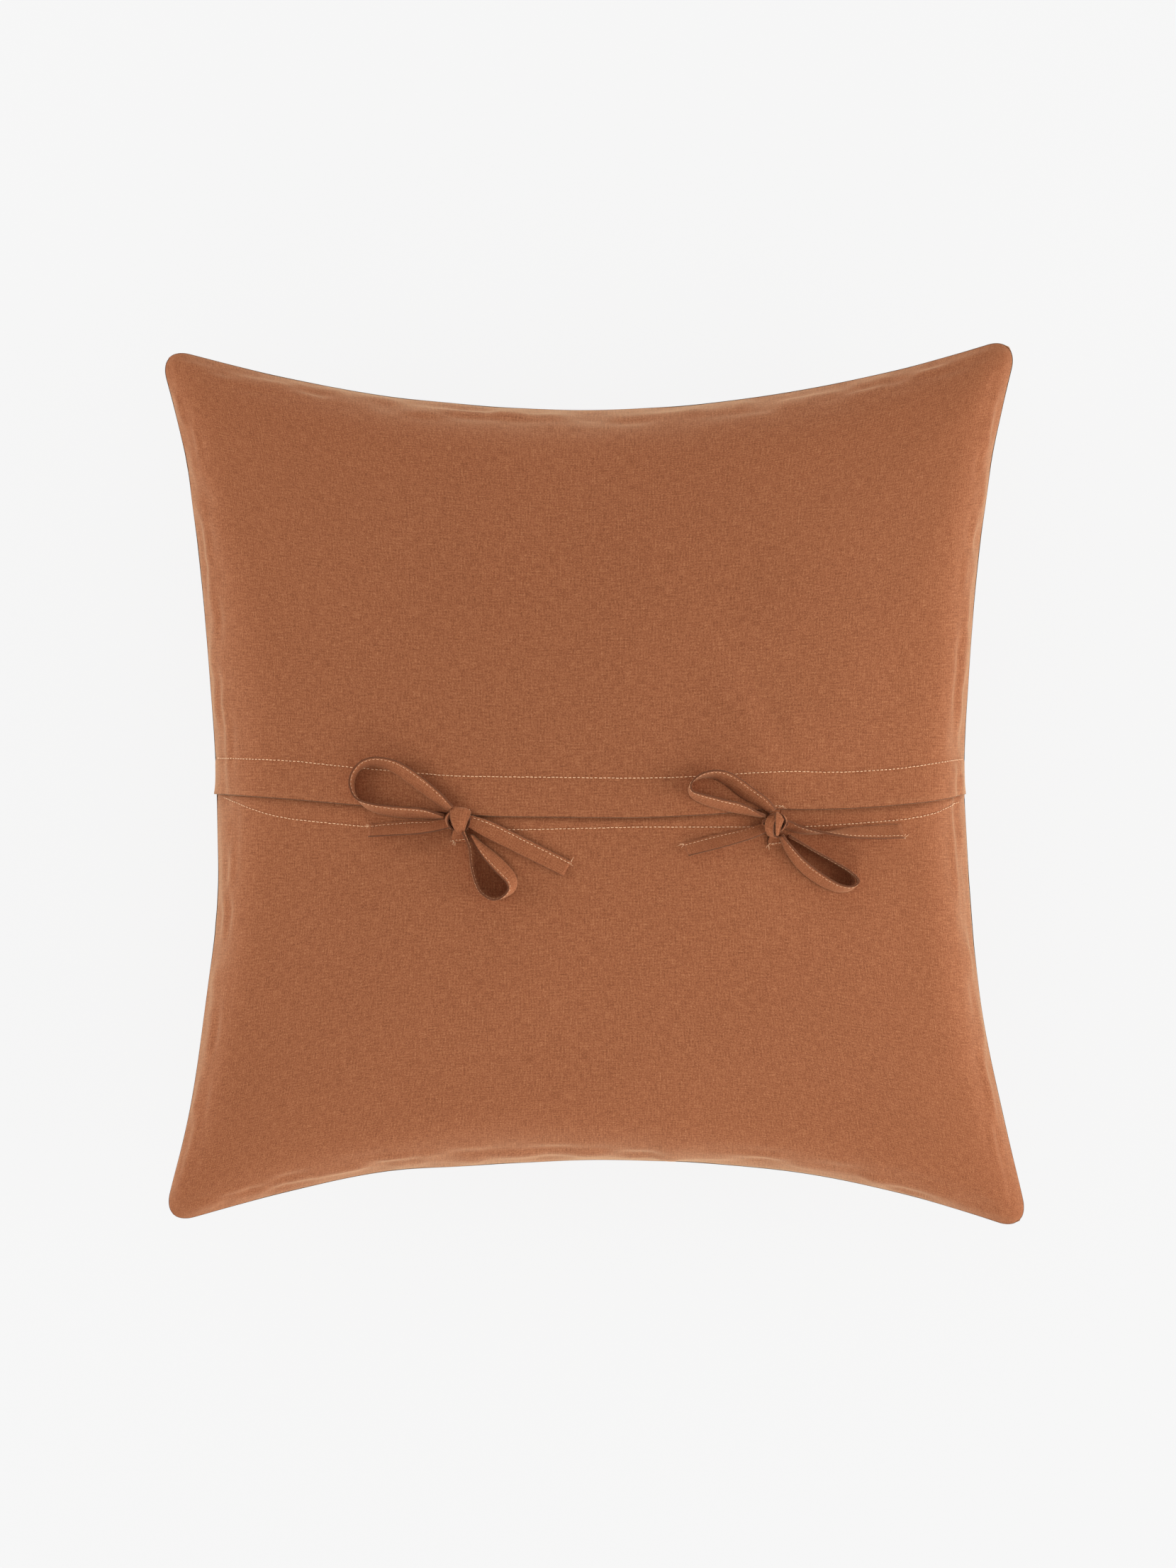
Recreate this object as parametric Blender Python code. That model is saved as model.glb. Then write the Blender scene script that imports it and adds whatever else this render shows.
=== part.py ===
"""Square floor cushion in a linen envelope cover that two bows hold shut.

Metres, +Z up. The cushion lies flat with its tied side up, and its origin is
the middle of its box on the floor. X runs across the ties, Y from the lower
panel to the flap.
"""
import math

import bmesh
import bpy
from mathutils import Vector

# driving dimensions of the filled cushion
WIDTH = 0.622            # across the corner tips in X
LENGTH = 0.640           # across the corner tips in Y
WAIST_X = 0.552          # across the middles of the side seams
WAIST_Y = 0.552          # across the middles of the top and bottom seams
SEAM_HEIGHT = 0.082      # of the edge seam above the floor
CROWN = 0.098            # of the back above the seam
BELLY = 0.100            # of the front below the seam, before it is pressed flat
CONTACT_BLEND = 0.008    # depth over which the front rounds into its flat

# cloth, thread and clearances
LINEN = 0.0006           # one layer of the cover
HEM_THICKNESS = 0.0014   # turned hems, two more layers pressed together
CASE_COTTON = 0.0005     # the inner case
THREAD = 0.0005          # sewing thread, as its line stands on the cloth
GAP = 0.0004             # between pieces that touch

# the opening across the back
FLAP_EDGE_MIDDLE = -0.025   # Y of the flap's edge at the middle
FLAP_EDGE_SIDE = -0.008     # Y of the flap's edge at the side seams
HEM_WIDTH = 0.028           # of the flap's hem
UNDERLAP = 0.020            # of the lower panel beneath the flap
LOWER_STITCH_DROP = 0.009   # from the flap's edge down to the lower panel's stitching
RECESS_END = 0.090          # below the flap's edge, where the lower panel is flush again
RECESS_START = 0.034

# the inner cushion stays back from the cover's corners
INNER_CORNER_GAP = 0.014

# the ties
TIE_WIDTH = 0.0125
TIE_THICKNESS = 0.0013
TIE_REST = THREAD + 2 * GAP   # of a tie above the cloth, over the line of stitching
HINGE_BACK = 0.0005      # from a loop's or tail's root back to the line it bends up about
KNOT_RADIUS = 0.68 * TIE_WIDTH
KNOT_HEIGHT = 0.92 * TIE_WIDTH
BOW_SCALE = KNOT_RADIUS / 0.0085   # the bows below are drawn for a knot of this radius
STEM_LENGTH = 0.0125 * BOW_SCALE   # of a lower tie's stretch from its tack to its knot
LEFT_KNOT_X = -0.099
LEFT_KNOT_DROP = 0.00468   # below the flap's edge
RIGHT_KNOT_X = 0.130
RIGHT_KNOT_DROP = 0.00876
TACK_LENGTH = 0.009 * BOW_SCALE
TACK_WIDTH = 0.0012

# fineness of the cushion's grid
COLUMNS = 18
PANEL_ROWS = 7
HEM_ROW_STEP = 0.0015    # from a hem's stitching to where its thickness ends
TIE_STEPS = 3            # between two chosen points of a tie

CORNER_SPREAD = 2.5      # how far a layer's corners draw back for each unit of its inset
SIDE_CURVE = 1.3         # how much of a side's pull lies near its middle
CROWN_CURVE = 0.53       # how steeply the panels rise from their seams

# Each tie, from its knot: x, y and lift in millimetres, tilt in degrees (0 lies
# flat, 90 stands on edge) and share of the full width. Loops run from the knot
# and back to it, with their inside on the left.
LEFT_TIES = {
    "upper_loop": [
        (-5.2, 8.6, 1.5, 125, 0.6), (-14, 16, 0.5, 138, 0.9), (-28, 27, 0, 142, 1), (-44, 38, 0, 138, 1),
        (-58, 42.5, 0, 122, 1), (-68.5, 41, 0, 108, 1), (-75.5, 34, 0, 100, 1), (-77, 24.5, 0, 96, 1),
        (-73, 15.5, 0, 84, 1), (-62, 9.5, 0, 64, 1), (-46, 6.5, 0, 52, 1), (-26, 5.2, 0, 52, 0.95),
        (-10.6, 3.2, 1, 70, 0.6)],
    "lower_loop": [
        (3.9, -7.9, 1.6, 90, 0.7), (8.2, -19, 0.6, 86, 0.95), (9.6, -34, 0, 84, 1), (13.4, -47, 0, 84, 1),
        (18.5, -53.5, 0, 86, 1), (25.5, -56.5, 0, 88, 1), (33, -54.5, 0, 82, 1), (38.5, -49, 0, 66, 1),
        (37.5, -41.5, 0, 52, 1), (30, -33, 0, 46, 1), (22, -25, 0, 46, 0.9), (14.5, -17.5, 0, 58, 0.7),
        (8.6, -10.6, 0, 75, 0.5)],
    "left_tail": [
        (-8.2, -2.4, 0.9, 30, 0.6), (-21, -4.4, 0, 42, 0.85), (-35, -5.2, 0, 42, 1), (-50, -6.2, 0, 45, 1),
        (-65, -7.4, 0, 48, 1)],
    "right_tail": [
        (9.2, -0.6, 3, 0, 0.75), (22, -6.5, 2.6, 0, 1), (40, -15.5, 1.6, 0, 1), (60, -25.5, 0.6, 0, 1),
        (78.5, -34.8, 0, 0, 1)],
}
RIGHT_TIES = {
    "upper_loop": [
        (-2.6, 9.8, 1.2, 125, 0.6), (-9.5, 16, 0.5, 136, 0.85), (-21.5, 23.5, 0, 142, 1),
        (-33, 32, 0, 136, 1), (-43, 36, 0, 118, 1), (-52.5, 35.3, 0, 104, 1), (-60, 31, 0, 94, 1),
        (-62, 25, 0, 84, 1), (-57, 20, 0, 66, 1), (-42, 15, 0, 54, 1), (-25, 11, 0, 52, 0.9),
        (-9, 5.8, 0.5, 75, 0.6)],
    "lower_loop": [
        (4, -8, 1.2, 78, 0.6), (10.5, -19, 0.3, 62, 0.85), (19, -29.5, 0, 55, 1), (31, -39, 0, 52, 1),
        (44.5, -46, 0, 60, 1), (55, -46.5, 0, 75, 1), (60, -41, 0, 88, 1), (53.5, -34, 0, 90, 1),
        (41.5, -26.8, 0, 90, 1), (29.5, -20.2, 0, 90, 1), (19, -14, 0, 90, 0.9),
        (9.4, -8.4, 0.3, 88, 0.65)],
    "left_tail": [
        (-8.2, -3.2, 0.3, 30, 0.6), (-21, -7.4, 0, 40, 0.85), (-41.5, -12.5, 0, 42, 1),
        (-64.5, -18.4, 0, 45, 1)],
    "right_tail": [
        (8.8, -0.4, 0.8, 40, 0.65), (20, -4.4, 0, 62, 0.85), (36, -6.2, 0, 88, 0.9), (54, -6.2, 0, 122, 1),
        (73, -5.8, 0, 138, 1), (92.5, -5.2, 0, 142, 1)],
}


class Layer:
    """How far a nested surface lies inside the cushion's outer surface."""

    def __init__(self, side, corner, top, bottom):
        self.side = side
        self.corner = corner
        self.top = top
        self.bottom = bottom


def cover_layer(inset):
    return Layer(inset, inset * CORNER_SPREAD, inset, inset)


def half_size(t, tip, waist):
    """Distance from an axis to a seam, t of the way from the seam's middle to its corner."""
    return tip - (tip - waist) * (1 - t * t) ** SIDE_CURVE


def pressed(z, floor):
    """Height with all below the floor pressed flat onto it, rounded where it lifts."""
    reach = max(CONTACT_BLEND - abs(z - floor), 0) / CONTACT_BLEND
    return max(z, floor) + reach * reach * CONTACT_BLEND / 4


def cushion_point(u, v, side, layer):
    """Point of a nested surface: u and v run from -1 to 1, side is 1 on the back."""
    x = u * half_size(v, WIDTH / 2 - layer.corner, WAIST_X / 2 - layer.side)
    y = v * half_size(u, LENGTH / 2 - layer.corner, WAIST_Y / 2 - layer.side)
    rise = ((1 - u * u) * (1 - v * v)) ** CROWN_CURVE
    if side > 0:
        z = SEAM_HEIGHT + GAP / 2 + (CROWN - GAP / 2 - layer.top) * rise
    else:
        z = SEAM_HEIGHT - GAP / 2 - (BELLY - layer.bottom) * rise
        z = pressed(z, layer.bottom) if rise > 0 else z
    return Vector((x, y, z))


def grid_place(x, y):
    """u and v of a place on the outer surface."""
    u = v = 0.0
    for _ in range(12):
        u = x / half_size(v, WIDTH / 2, WAIST_X / 2)
        v = y / half_size(u, LENGTH / 2, WAIST_Y / 2)
    return u, v


def back_height(x, y, inset=0.0):
    u, v = grid_place(x, y)
    return cushion_point(u, v, 1, Layer(0, 0, inset, 0)).z


def back_normal(x, y):
    step = 0.002
    slope_x = (back_height(x + step, y) - back_height(x - step, y)) / (2 * step)
    slope_y = (back_height(x, y + step) - back_height(x, y - step)) / (2 * step)
    return Vector((-slope_x, -slope_y, 1)).normalized()


def flap_edge_y(u):
    return FLAP_EDGE_MIDDLE + (FLAP_EDGE_SIDE - FLAP_EDGE_MIDDLE) * u * u


def knot_place(x, drop):
    """A knot's middle, a set distance below the flap's edge."""
    u, _ = grid_place(x, FLAP_EDGE_MIDDLE)
    return x, flap_edge_y(u) - drop


def row_place(u, y):
    """v of a line across the back at distance y from the middle."""
    return y / half_size(u, LENGTH / 2, WAIST_Y / 2)


def eased(t):
    """Spaces rows and columns closer towards a seam at t = 1."""
    return 0.6 * t + 0.4 * (1 - (1 - t) ** 1.5)


COLUMN_PLACES = [
    math.copysign(eased(abs(2 * i / COLUMNS - 1)), 2 * i / COLUMNS - 1) for i in range(COLUMNS + 1)
]


def row_lines(u):
    """The v of every grid row in one column, the same rows on every nested surface."""
    edge = flap_edge_y(u)
    marks = [
        row_place(u, edge - LOWER_STITCH_DROP - HEM_ROW_STEP),
        row_place(u, edge - LOWER_STITCH_DROP),
        row_place(u, edge),
        row_place(u, edge + UNDERLAP),
        row_place(u, edge + HEM_WIDTH),
        row_place(u, edge + HEM_WIDTH + HEM_ROW_STEP),
    ]
    below = [marks[0] - (marks[0] + 1) * eased(1 - j / PANEL_ROWS) for j in range(PANEL_ROWS)]
    above = [marks[-1] + (1 - marks[-1]) * eased(j / PANEL_ROWS) for j in range(1, PANEL_ROWS + 1)]
    return below + marks + above


ROWS = len(row_lines(0.0)) - 1
ROW_LOWER_STITCH = PANEL_ROWS + 1
ROW_FLAP_EDGE = PANEL_ROWS + 2
ROW_UNDERLAP = PANEL_ROWS + 3
ROW_HEM_STITCH = PANEL_ROWS + 4
GRID = [row_lines(u) for u in COLUMN_PLACES]

FLAP_HEM_DEPTH = HEM_THICKNESS
RECESS = HEM_THICKNESS + GAP
LOWER_HEM_DEPTH = RECESS + HEM_THICKNESS
THREAD_RING_INSET = LOWER_HEM_DEPTH + GAP + THREAD / 2
CASE_SIDE = THREAD_RING_INSET + THREAD / 2 + GAP
CASE_TOP = LOWER_HEM_DEPTH + GAP
CASE_BOTTOM = LINEN + GAP
CASE_RING_STEP = CASE_COTTON + GAP + THREAD / 2
FILLING_STEP = CASE_RING_STEP + THREAD / 2 + GAP


STEM_TOP = TIE_REST + TIE_THICKNESS - RECESS   # above the flap, from over the lower stitching


def inner_layer(step):
    """A surface of the inner cushion, a step inside the outside of its case."""
    return Layer(
        CASE_SIDE + step,
        INNER_CORNER_GAP + CASE_SIDE + step * CORNER_SPREAD,
        CASE_TOP + step,
        CASE_BOTTOM + step,
    )


def recess_share(i, j):
    """1 where the lower panel lies a hem's thickness down beside the flap, 0 where it is flush."""
    u = COLUMN_PLACES[i]
    y = GRID[i][j] * half_size(u, LENGTH / 2, WAIST_Y / 2)
    t = (flap_edge_y(u) - y - RECESS_START) / (RECESS_END - RECESS_START)
    t = min(max(t, 0), 1)
    return 1 - t * t * (3 - 2 * t)


def add_patch(bm, grid):
    """Triangles over a grid of corners, split so that each slope runs towards a cushion corner."""
    for i in range(len(grid) - 1):
        for j in range(len(grid[0]) - 1):
            a, b, c, d = grid[i][j], grid[i + 1][j], grid[i + 1][j + 1], grid[i][j + 1]
            same_sign = (a.co.x + c.co.x) * (a.co.y + c.co.y) > 0
            halves = ((a, b, c), (a, c, d)) if same_sign else ((a, b, d), (b, c, d))
            for half in halves:
                bm.faces.new(half)


def new_object(name, bm, colour, origin=Vector(), roughness=0.9):
    mesh = bpy.data.meshes.new(name)
    bmesh.ops.recalc_face_normals(bm, faces=bm.faces)
    if bm.calc_volume(signed=True) < 0:
        bmesh.ops.reverse_faces(bm, faces=bm.faces)
    bmesh.ops.translate(bm, vec=-origin, verts=bm.verts)
    bm.to_mesh(mesh)
    bm.free()
    mesh.shade_smooth()
    mesh.set_sharp_from_angle(angle=math.radians(40))
    material = bpy.data.materials.new(name)
    material.use_nodes = True
    shader = material.node_tree.nodes["Principled BSDF"]
    shader.inputs["Base Color"].default_value = (*colour, 1)
    shader.inputs["Roughness"].default_value = roughness
    shader.inputs["Metallic"].default_value = 0
    mesh.materials.append(material)
    thing = bpy.data.objects.new(name, mesh)
    thing.location = origin
    bpy.context.scene.collection.objects.link(thing)
    return thing


def add_shell(name, side, first_row, last_row, outer, inner, colour):
    """A panel: two grids, outside and inside, joined round their edges."""
    bm = bmesh.new()
    rows = range(first_row, last_row + 1)
    faces = []
    for depth in (outer, inner):
        faces.append([
            [bm.verts.new(cushion_point(u, GRID[i][j], side, depth(i, j))) for j in rows]
            for i, u in enumerate(COLUMN_PLACES)
        ])
    last = len(rows) - 1
    for grid in faces:
        add_patch(bm, grid)
    rim = [(i, 0) for i in range(COLUMNS)] + [(COLUMNS, j) for j in range(last)]
    rim += [(i, last) for i in range(COLUMNS, 0, -1)] + [(0, j) for j in range(last, 0, -1)]
    outside, inside = faces
    for (a, b), (c, d) in zip(rim, rim[1:] + rim[:1]):
        bm.faces.new((outside[a][b], outside[c][d], inside[c][d], inside[a][b]))
    return new_object(name, bm, colour)


def add_filling(name, layer, colour):
    """One closed body: the back's grid and the front's, joined round the seam."""
    bm = bmesh.new()
    back, front = [
        [[bm.verts.new(cushion_point(u, v, side, layer)) for v in GRID[i]]
         for i, u in enumerate(COLUMN_PLACES)]
        for side in (1, -1)
    ]
    for grid in (back, front):
        add_patch(bm, grid)
    rim = rim_places()
    for (a, b), (c, d) in zip(rim, rim[1:] + rim[:1]):
        bm.faces.new((back[a][b], back[c][d], front[c][d], front[a][b]))
    return new_object(name, bm, colour)


def rim_places():
    rim = [(i, 0) for i in range(COLUMNS)] + [(COLUMNS, j) for j in range(ROWS)]
    return rim + [(i, ROWS) for i in range(COLUMNS, 0, -1)] + [(0, j) for j in range(ROWS, 0, -1)]


def add_bar(name, sections, colour, ring=False, origin=Vector()):
    """A closed bar through four-cornered sections, capped unless it is a ring."""
    bm = bmesh.new()
    corners = [[bm.verts.new(p) for p in section] for section in sections]
    pairs = list(zip(corners, corners[1:]))
    if ring:
        pairs.append((corners[-1], corners[0]))
    for one, two in pairs:
        for k in range(4):
            bm.faces.new((one[k], two[k], two[(k + 1) % 4], one[(k + 1) % 4]))
    if not ring:
        bm.faces.new(corners[0])
        bm.faces.new(reversed(corners[-1]))
    return new_object(name, bm, colour, origin)


def square_section(centre, across, up, width, height):
    a, b = across * width / 2, up * height / 2
    return [centre - a - b, centre + a - b, centre + a + b, centre - a + b]


def add_seam_thread(name, layer, colour):
    """Thread that runs round the whole edge, just inside the seam."""
    points = []
    for i, j in rim_places():
        place = cushion_point(COLUMN_PLACES[i], GRID[i][j], 1, layer)
        points.append(Vector((place.x, place.y, SEAM_HEIGHT)))
    sections = []
    for k, place in enumerate(points):
        along = (points[(k + 1) % len(points)] - points[k - 1]).normalized()
        across = Vector((along.y, -along.x, 0))
        sections.append(square_section(place, across, Vector((0, 0, 1)), THREAD, THREAD))
    return add_bar(name, sections, colour, ring=True)


def add_row_thread(name, row, inset, colour):
    """A line of stitching that lies on a panel along one grid row."""
    inner_columns = range(1, COLUMNS)
    points = [
        cushion_point(COLUMN_PLACES[i], GRID[i][row], 1, cover_layer(inset(i, row)))
        for i in inner_columns
    ]
    lifted = [p + back_normal(p.x, p.y) * (GAP + THREAD / 2) for p in points]
    sections = []
    for k, place in enumerate(lifted):
        along = (lifted[min(k + 1, len(lifted) - 1)] - lifted[max(k - 1, 0)]).normalized()
        up = back_normal(place.x, place.y)
        sections.append(square_section(place, up.cross(along).normalized(), up, THREAD, THREAD))
    return add_bar(name, sections, colour)


def smooth_route(points):
    """Chosen points with others between them on one smooth curve."""
    route = []
    for k in range(len(points) - 1):
        a, b = points[max(k - 1, 0)], points[k]
        c, d = points[k + 1], points[min(k + 2, len(points) - 1)]
        for n in range(TIE_STEPS):
            t = n / TIE_STEPS
            route.append([
                0.5 * (2 * q + (r - p) * t + (2 * p - 5 * q + 4 * r - s) * t * t
                       + (3 * q - p - 3 * r + s) * t ** 3)
                for p, q, r, s in zip(a, b, c, d)
            ])
    route.append(list(points[-1]))
    return route


def tie_sections(knot, points):
    """Cross-sections of a flat tie that lies or stands on the back of the cushion."""
    centres, ups, turns, widths = [], [], [], []
    for dx, dy, lift, tilt, share in smooth_route(points):
        x, y = knot[0] + dx * BOW_SCALE / 1000, knot[1] + dy * BOW_SCALE / 1000
        turn, width = math.radians(tilt), TIE_WIDTH * share
        up = back_normal(x, y)
        stand = abs(math.sin(turn)) * width / 2 + abs(math.cos(turn)) * TIE_THICKNESS / 2
        centres.append(Vector((x, y, back_height(x, y))) + up * (TIE_REST + stand + lift * BOW_SCALE / 1000))
        ups.append(up)
        turns.append(turn)
        widths.append(width)
    sections = []
    last = len(centres) - 1
    for k, (centre, up, turn, width) in enumerate(zip(centres, ups, turns, widths)):
        along = (centres[min(k + 1, last)] - centres[max(k - 1, 0)]).normalized()
        left = up.cross(along).normalized()
        over = along.cross(left)
        broad = left * math.cos(turn) + over * math.sin(turn)
        sections.append(square_section(centre, broad, along.cross(broad), width, TIE_THICKNESS))
    return sections


def hinge_line(knot, sections, is_loop):
    """Where a loop or tail bends up from its knot: a point above and behind its root, and an axis."""
    up = back_normal(*knot)
    root = sections[0] + (sections[-1] if is_loop else [])
    corners = [corner for section in sections for corner in section]
    root_middle = sum(root, Vector()) / len(root)
    outward = sum(corners, Vector()) / len(corners) - root_middle
    outward = (outward - up * outward.dot(up)).normalized()
    behind = min((corner - root_middle).dot(outward) for corner in root) - HINGE_BACK
    above = max((corner - root_middle).dot(up) for corner in root)
    return root_middle + outward * behind + up * above, outward.cross(up)


def add_knot(name, knot, colour):
    """The wrapped middle of a bow, a flattened ball that rests on the flap's edge."""
    bm = bmesh.new()
    bmesh.ops.create_uvsphere(bm, u_segments=16, v_segments=8, radius=1)
    up = back_normal(*knot)
    turn = up.to_track_quat("Z", "Y").to_matrix()
    base = Vector((*knot, back_height(*knot)))
    for vert in bm.verts:
        x, y, z = vert.co
        flat = Vector((x * KNOT_RADIUS, y * KNOT_RADIUS, (z + 1) * KNOT_HEIGHT / 2 + STEM_TOP + GAP))
        vert.co = base + turn @ flat
    return new_object(name, bm, colour)


def add_stem(name, x, y_start, y_end, colour):
    """The flat stretch of a tie from its hem to its knot, over the lower stitching."""
    sections = []
    for k in range(3):
        y = y_start + (y_end - y_start) * k / 2
        up = back_normal(x, y)
        centre = Vector((x, y, back_height(x, y))) + up * (STEM_TOP - TIE_THICKNESS / 2)
        sections.append(square_section(centre, up.cross(Vector((0, 1, 0))), up, TIE_WIDTH, TIE_THICKNESS))
    return add_bar(name, sections, colour)


def add_tack(name, x, y, lift, colour):
    """A short row of stitches across a tie's foot."""
    up = back_normal(x, y)
    across = Vector((1, 0, 0)) - up * up.x
    middle = Vector((x, y, back_height(x, y))) + up * (lift + THREAD / 2)
    sections = [
        square_section(middle + across * TACK_LENGTH * t, up.cross(across), up, TACK_WIDTH, THREAD)
        for t in (-0.5, 0.5)
    ]
    return add_bar(name, sections, colour)


LINEN_COLOUR = (0.36, 0.13, 0.06)
UNDER_COLOUR = (0.33, 0.12, 0.055)
THREAD_COLOUR = (0.68, 0.38, 0.22)
COTTON_COLOUR = (0.80, 0.77, 0.70)
FIBRE_COLOUR = (0.88, 0.88, 0.86)


def build_cover():
    def outside(i, j):
        return cover_layer(0)

    def inside(i, j):
        return cover_layer(LINEN)

    def flap_inside(i, j):
        return cover_layer(FLAP_HEM_DEPTH if j <= ROW_HEM_STITCH else LINEN)

    def lower_outside(i, j):
        return cover_layer(RECESS * recess_share(i, j))

    def lower_inside(i, j):
        depth = HEM_THICKNESS if j >= ROW_LOWER_STITCH else LINEN
        return cover_layer(RECESS * recess_share(i, j) + depth)

    add_shell("cover_front_panel", -1, 0, ROWS, outside, inside, LINEN_COLOUR)
    add_shell("cover_back_upper_panel", 1, ROW_FLAP_EDGE, ROWS, outside, flap_inside, LINEN_COLOUR)
    add_shell("cover_back_lower_panel", 1, 0, ROW_UNDERLAP, lower_outside, lower_inside, UNDER_COLOUR)
    add_seam_thread("cover_seam_thread", cover_layer(THREAD_RING_INSET), THREAD_COLOUR)
    add_row_thread("flap_hem_stitching", ROW_HEM_STITCH, lambda i, j: 0, THREAD_COLOUR)
    add_row_thread(
        "lower_hem_stitching", ROW_LOWER_STITCH, lambda i, j: RECESS * recess_share(i, j), THREAD_COLOUR
    )


def build_inner_cushion():
    def outside(i, j):
        return inner_layer(0)

    def inside(i, j):
        return inner_layer(CASE_COTTON)

    add_shell("inner_case_front", -1, 0, ROWS, outside, inside, COTTON_COLOUR)
    add_shell("inner_case_back", 1, 0, ROWS, outside, inside, COTTON_COLOUR)
    add_seam_thread("inner_case_seam_thread", inner_layer(CASE_RING_STEP), COTTON_COLOUR)
    add_filling("filling", inner_layer(FILLING_STEP), FIBRE_COLOUR)


def build_bow(side, knot, ties):
    u, _ = grid_place(*knot)
    edge = flap_edge_y(u)
    middle = knot[1] - STEM_LENGTH / 4
    add_knot(side + "_knot", knot, LINEN_COLOUR)
    add_stem(side + "_upper_tie_stem", knot[0], edge - 2 * GAP, middle + GAP / 2, LINEN_COLOUR)
    add_stem(side + "_lower_tie_stem", knot[0], middle - GAP / 2, middle - STEM_LENGTH, LINEN_COLOUR)
    add_tack(side + "_upper_tack", knot[0], edge + TACK_WIDTH, GAP, THREAD_COLOUR)
    add_tack(side + "_lower_tack", knot[0], middle - STEM_LENGTH + TACK_WIDTH,
             STEM_TOP + GAP, THREAD_COLOUR)
    for name, points in ties.items():
        sections = tie_sections(knot, points)
        place, _ = hinge_line(knot, sections, name.endswith("loop"))
        add_bar(side + "_" + name, sections, LINEN_COLOUR, origin=place)


def main():
    for thing in list(bpy.data.objects):
        bpy.data.objects.remove(thing)
    build_cover()
    build_inner_cushion()
    build_bow("left", knot_place(LEFT_KNOT_X, LEFT_KNOT_DROP), LEFT_TIES)
    build_bow("right", knot_place(RIGHT_KNOT_X, RIGHT_KNOT_DROP), RIGHT_TIES)


main()
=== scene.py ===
# Floor cushion: a linen envelope cover, held shut by two bows, over a fibre-filled inner cushion.
# Metres, +Z up. The cushion lies flat with its tied back up.
import math

import bmesh
import bpy
import numpy as np
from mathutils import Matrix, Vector


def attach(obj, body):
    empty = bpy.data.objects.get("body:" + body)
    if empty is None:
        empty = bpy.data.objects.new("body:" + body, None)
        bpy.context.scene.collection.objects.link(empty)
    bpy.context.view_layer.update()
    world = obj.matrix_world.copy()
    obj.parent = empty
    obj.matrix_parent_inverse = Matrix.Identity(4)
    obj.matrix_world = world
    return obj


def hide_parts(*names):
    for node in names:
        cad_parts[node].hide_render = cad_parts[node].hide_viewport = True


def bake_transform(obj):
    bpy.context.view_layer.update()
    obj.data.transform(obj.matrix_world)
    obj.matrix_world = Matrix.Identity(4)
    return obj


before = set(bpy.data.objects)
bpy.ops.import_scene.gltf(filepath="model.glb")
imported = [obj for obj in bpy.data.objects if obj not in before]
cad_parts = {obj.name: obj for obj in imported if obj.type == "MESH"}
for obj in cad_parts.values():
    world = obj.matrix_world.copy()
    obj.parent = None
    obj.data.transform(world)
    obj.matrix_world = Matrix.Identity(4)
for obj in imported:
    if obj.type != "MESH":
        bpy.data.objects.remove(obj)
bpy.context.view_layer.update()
mm = 0.001

seamHeight = 0.082              # of the cover's seam above the floor

# a long lens straight above, its top towards the flap
camera = {
    "lens": 250, "lensWidth": 36,
    "viewHeight": 1.15024,      # the seen stretch at the seam's level, from near end to far end
    "centre": (-5.5 * mm, -1.0 * mm),
}


def placeCamera():
    standOff = camera["viewHeight"] * camera["lens"] / camera["lensWidth"]
    lens = bpy.data.cameras.new("shotCamera")
    lens.lens = camera["lens"]
    lens.sensor_width = camera["lensWidth"]
    lens.clip_end = 100
    shotCamera = bpy.data.objects.new("shotCamera", lens)
    shotCamera.location = (*camera["centre"], seamHeight + standOff)
    bpy.context.scene.collection.objects.link(shotCamera)
    bpy.context.scene.camera = shotCamera
    bpy.context.scene.view_settings.view_transform = "Standard"
    print("camera", round(standOff, 2), "m above the seam")


placeCamera()


# an sRGB hex colour as linear red, green, blue and alpha
def linear(hexCode):
    parts = [int(hexCode[k:k + 2], 16) / 255 for k in (1, 3, 5)]
    return tuple(c / 12.92 if c < 0.04045 else ((c + 0.055) / 1.055) ** 2.4 for c in parts) + (1,)


# inputs are values, sockets, or nodes that stand for their first output
def addNode(tree, kind, inputs=None, **settings):
    node = tree.nodes.new(kind)
    for name, value in settings.items():
        setattr(node, name, value)
    for name, value in (inputs or {}).items():
        if isinstance(value, bpy.types.Node):
            value = value.outputs[0]
        if isinstance(value, bpy.types.NodeSocket):
            tree.links.new(value, node.inputs[name])
        else:
            node.inputs[name].default_value = value
    return node


def emptyMaterial(name):
    material = bpy.data.materials.new(name)
    material.use_nodes = True
    material.node_tree.nodes.clear()
    return material, material.node_tree


# Linen: plain-woven flax yarn, piece-dyed and washed. Matt, thick and thin yarns show
# as short streaks both ways, and stray fibres make a soft pale sheen at grazing angles.
# Real yarns lie 0.6 mm apart; they are drawn at 1.1 mm, the closest that still shows.
linenLook = {
    "yarnPitch": 1.1, "slubLength": 9, "cloudSize": 110,      # millimetres
    "speckleScale": 0.9, "wanderScale": 0.045,                # to one yarn
    "wander": 1.6,                                            # yarns off the straight
    "yarnColours": ("#63341F", "#824829", "#985937", "#AB6D47", "#C78F68"),
    "middleStops": (0.32, 0.5, 0.68),
    # the crease colour is painted shade: the dark of shadow in turned-in edges and under the flap's hem
    "wornColour": "#BE865F", "paintedShadeColour": "#3A1B0E", "sheenColour": "#FFDCB0",
    "streakShare": 0.6, "speckleShare": 0.45, "cloudShare": 0.04, "gapShare": 0.2,
    "roughness": 0.86, "roughnessSpread": 0.12, "sheen": 0.6, "bumpStrength": 0.3, "yarnHeight": 0.22,
}


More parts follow.
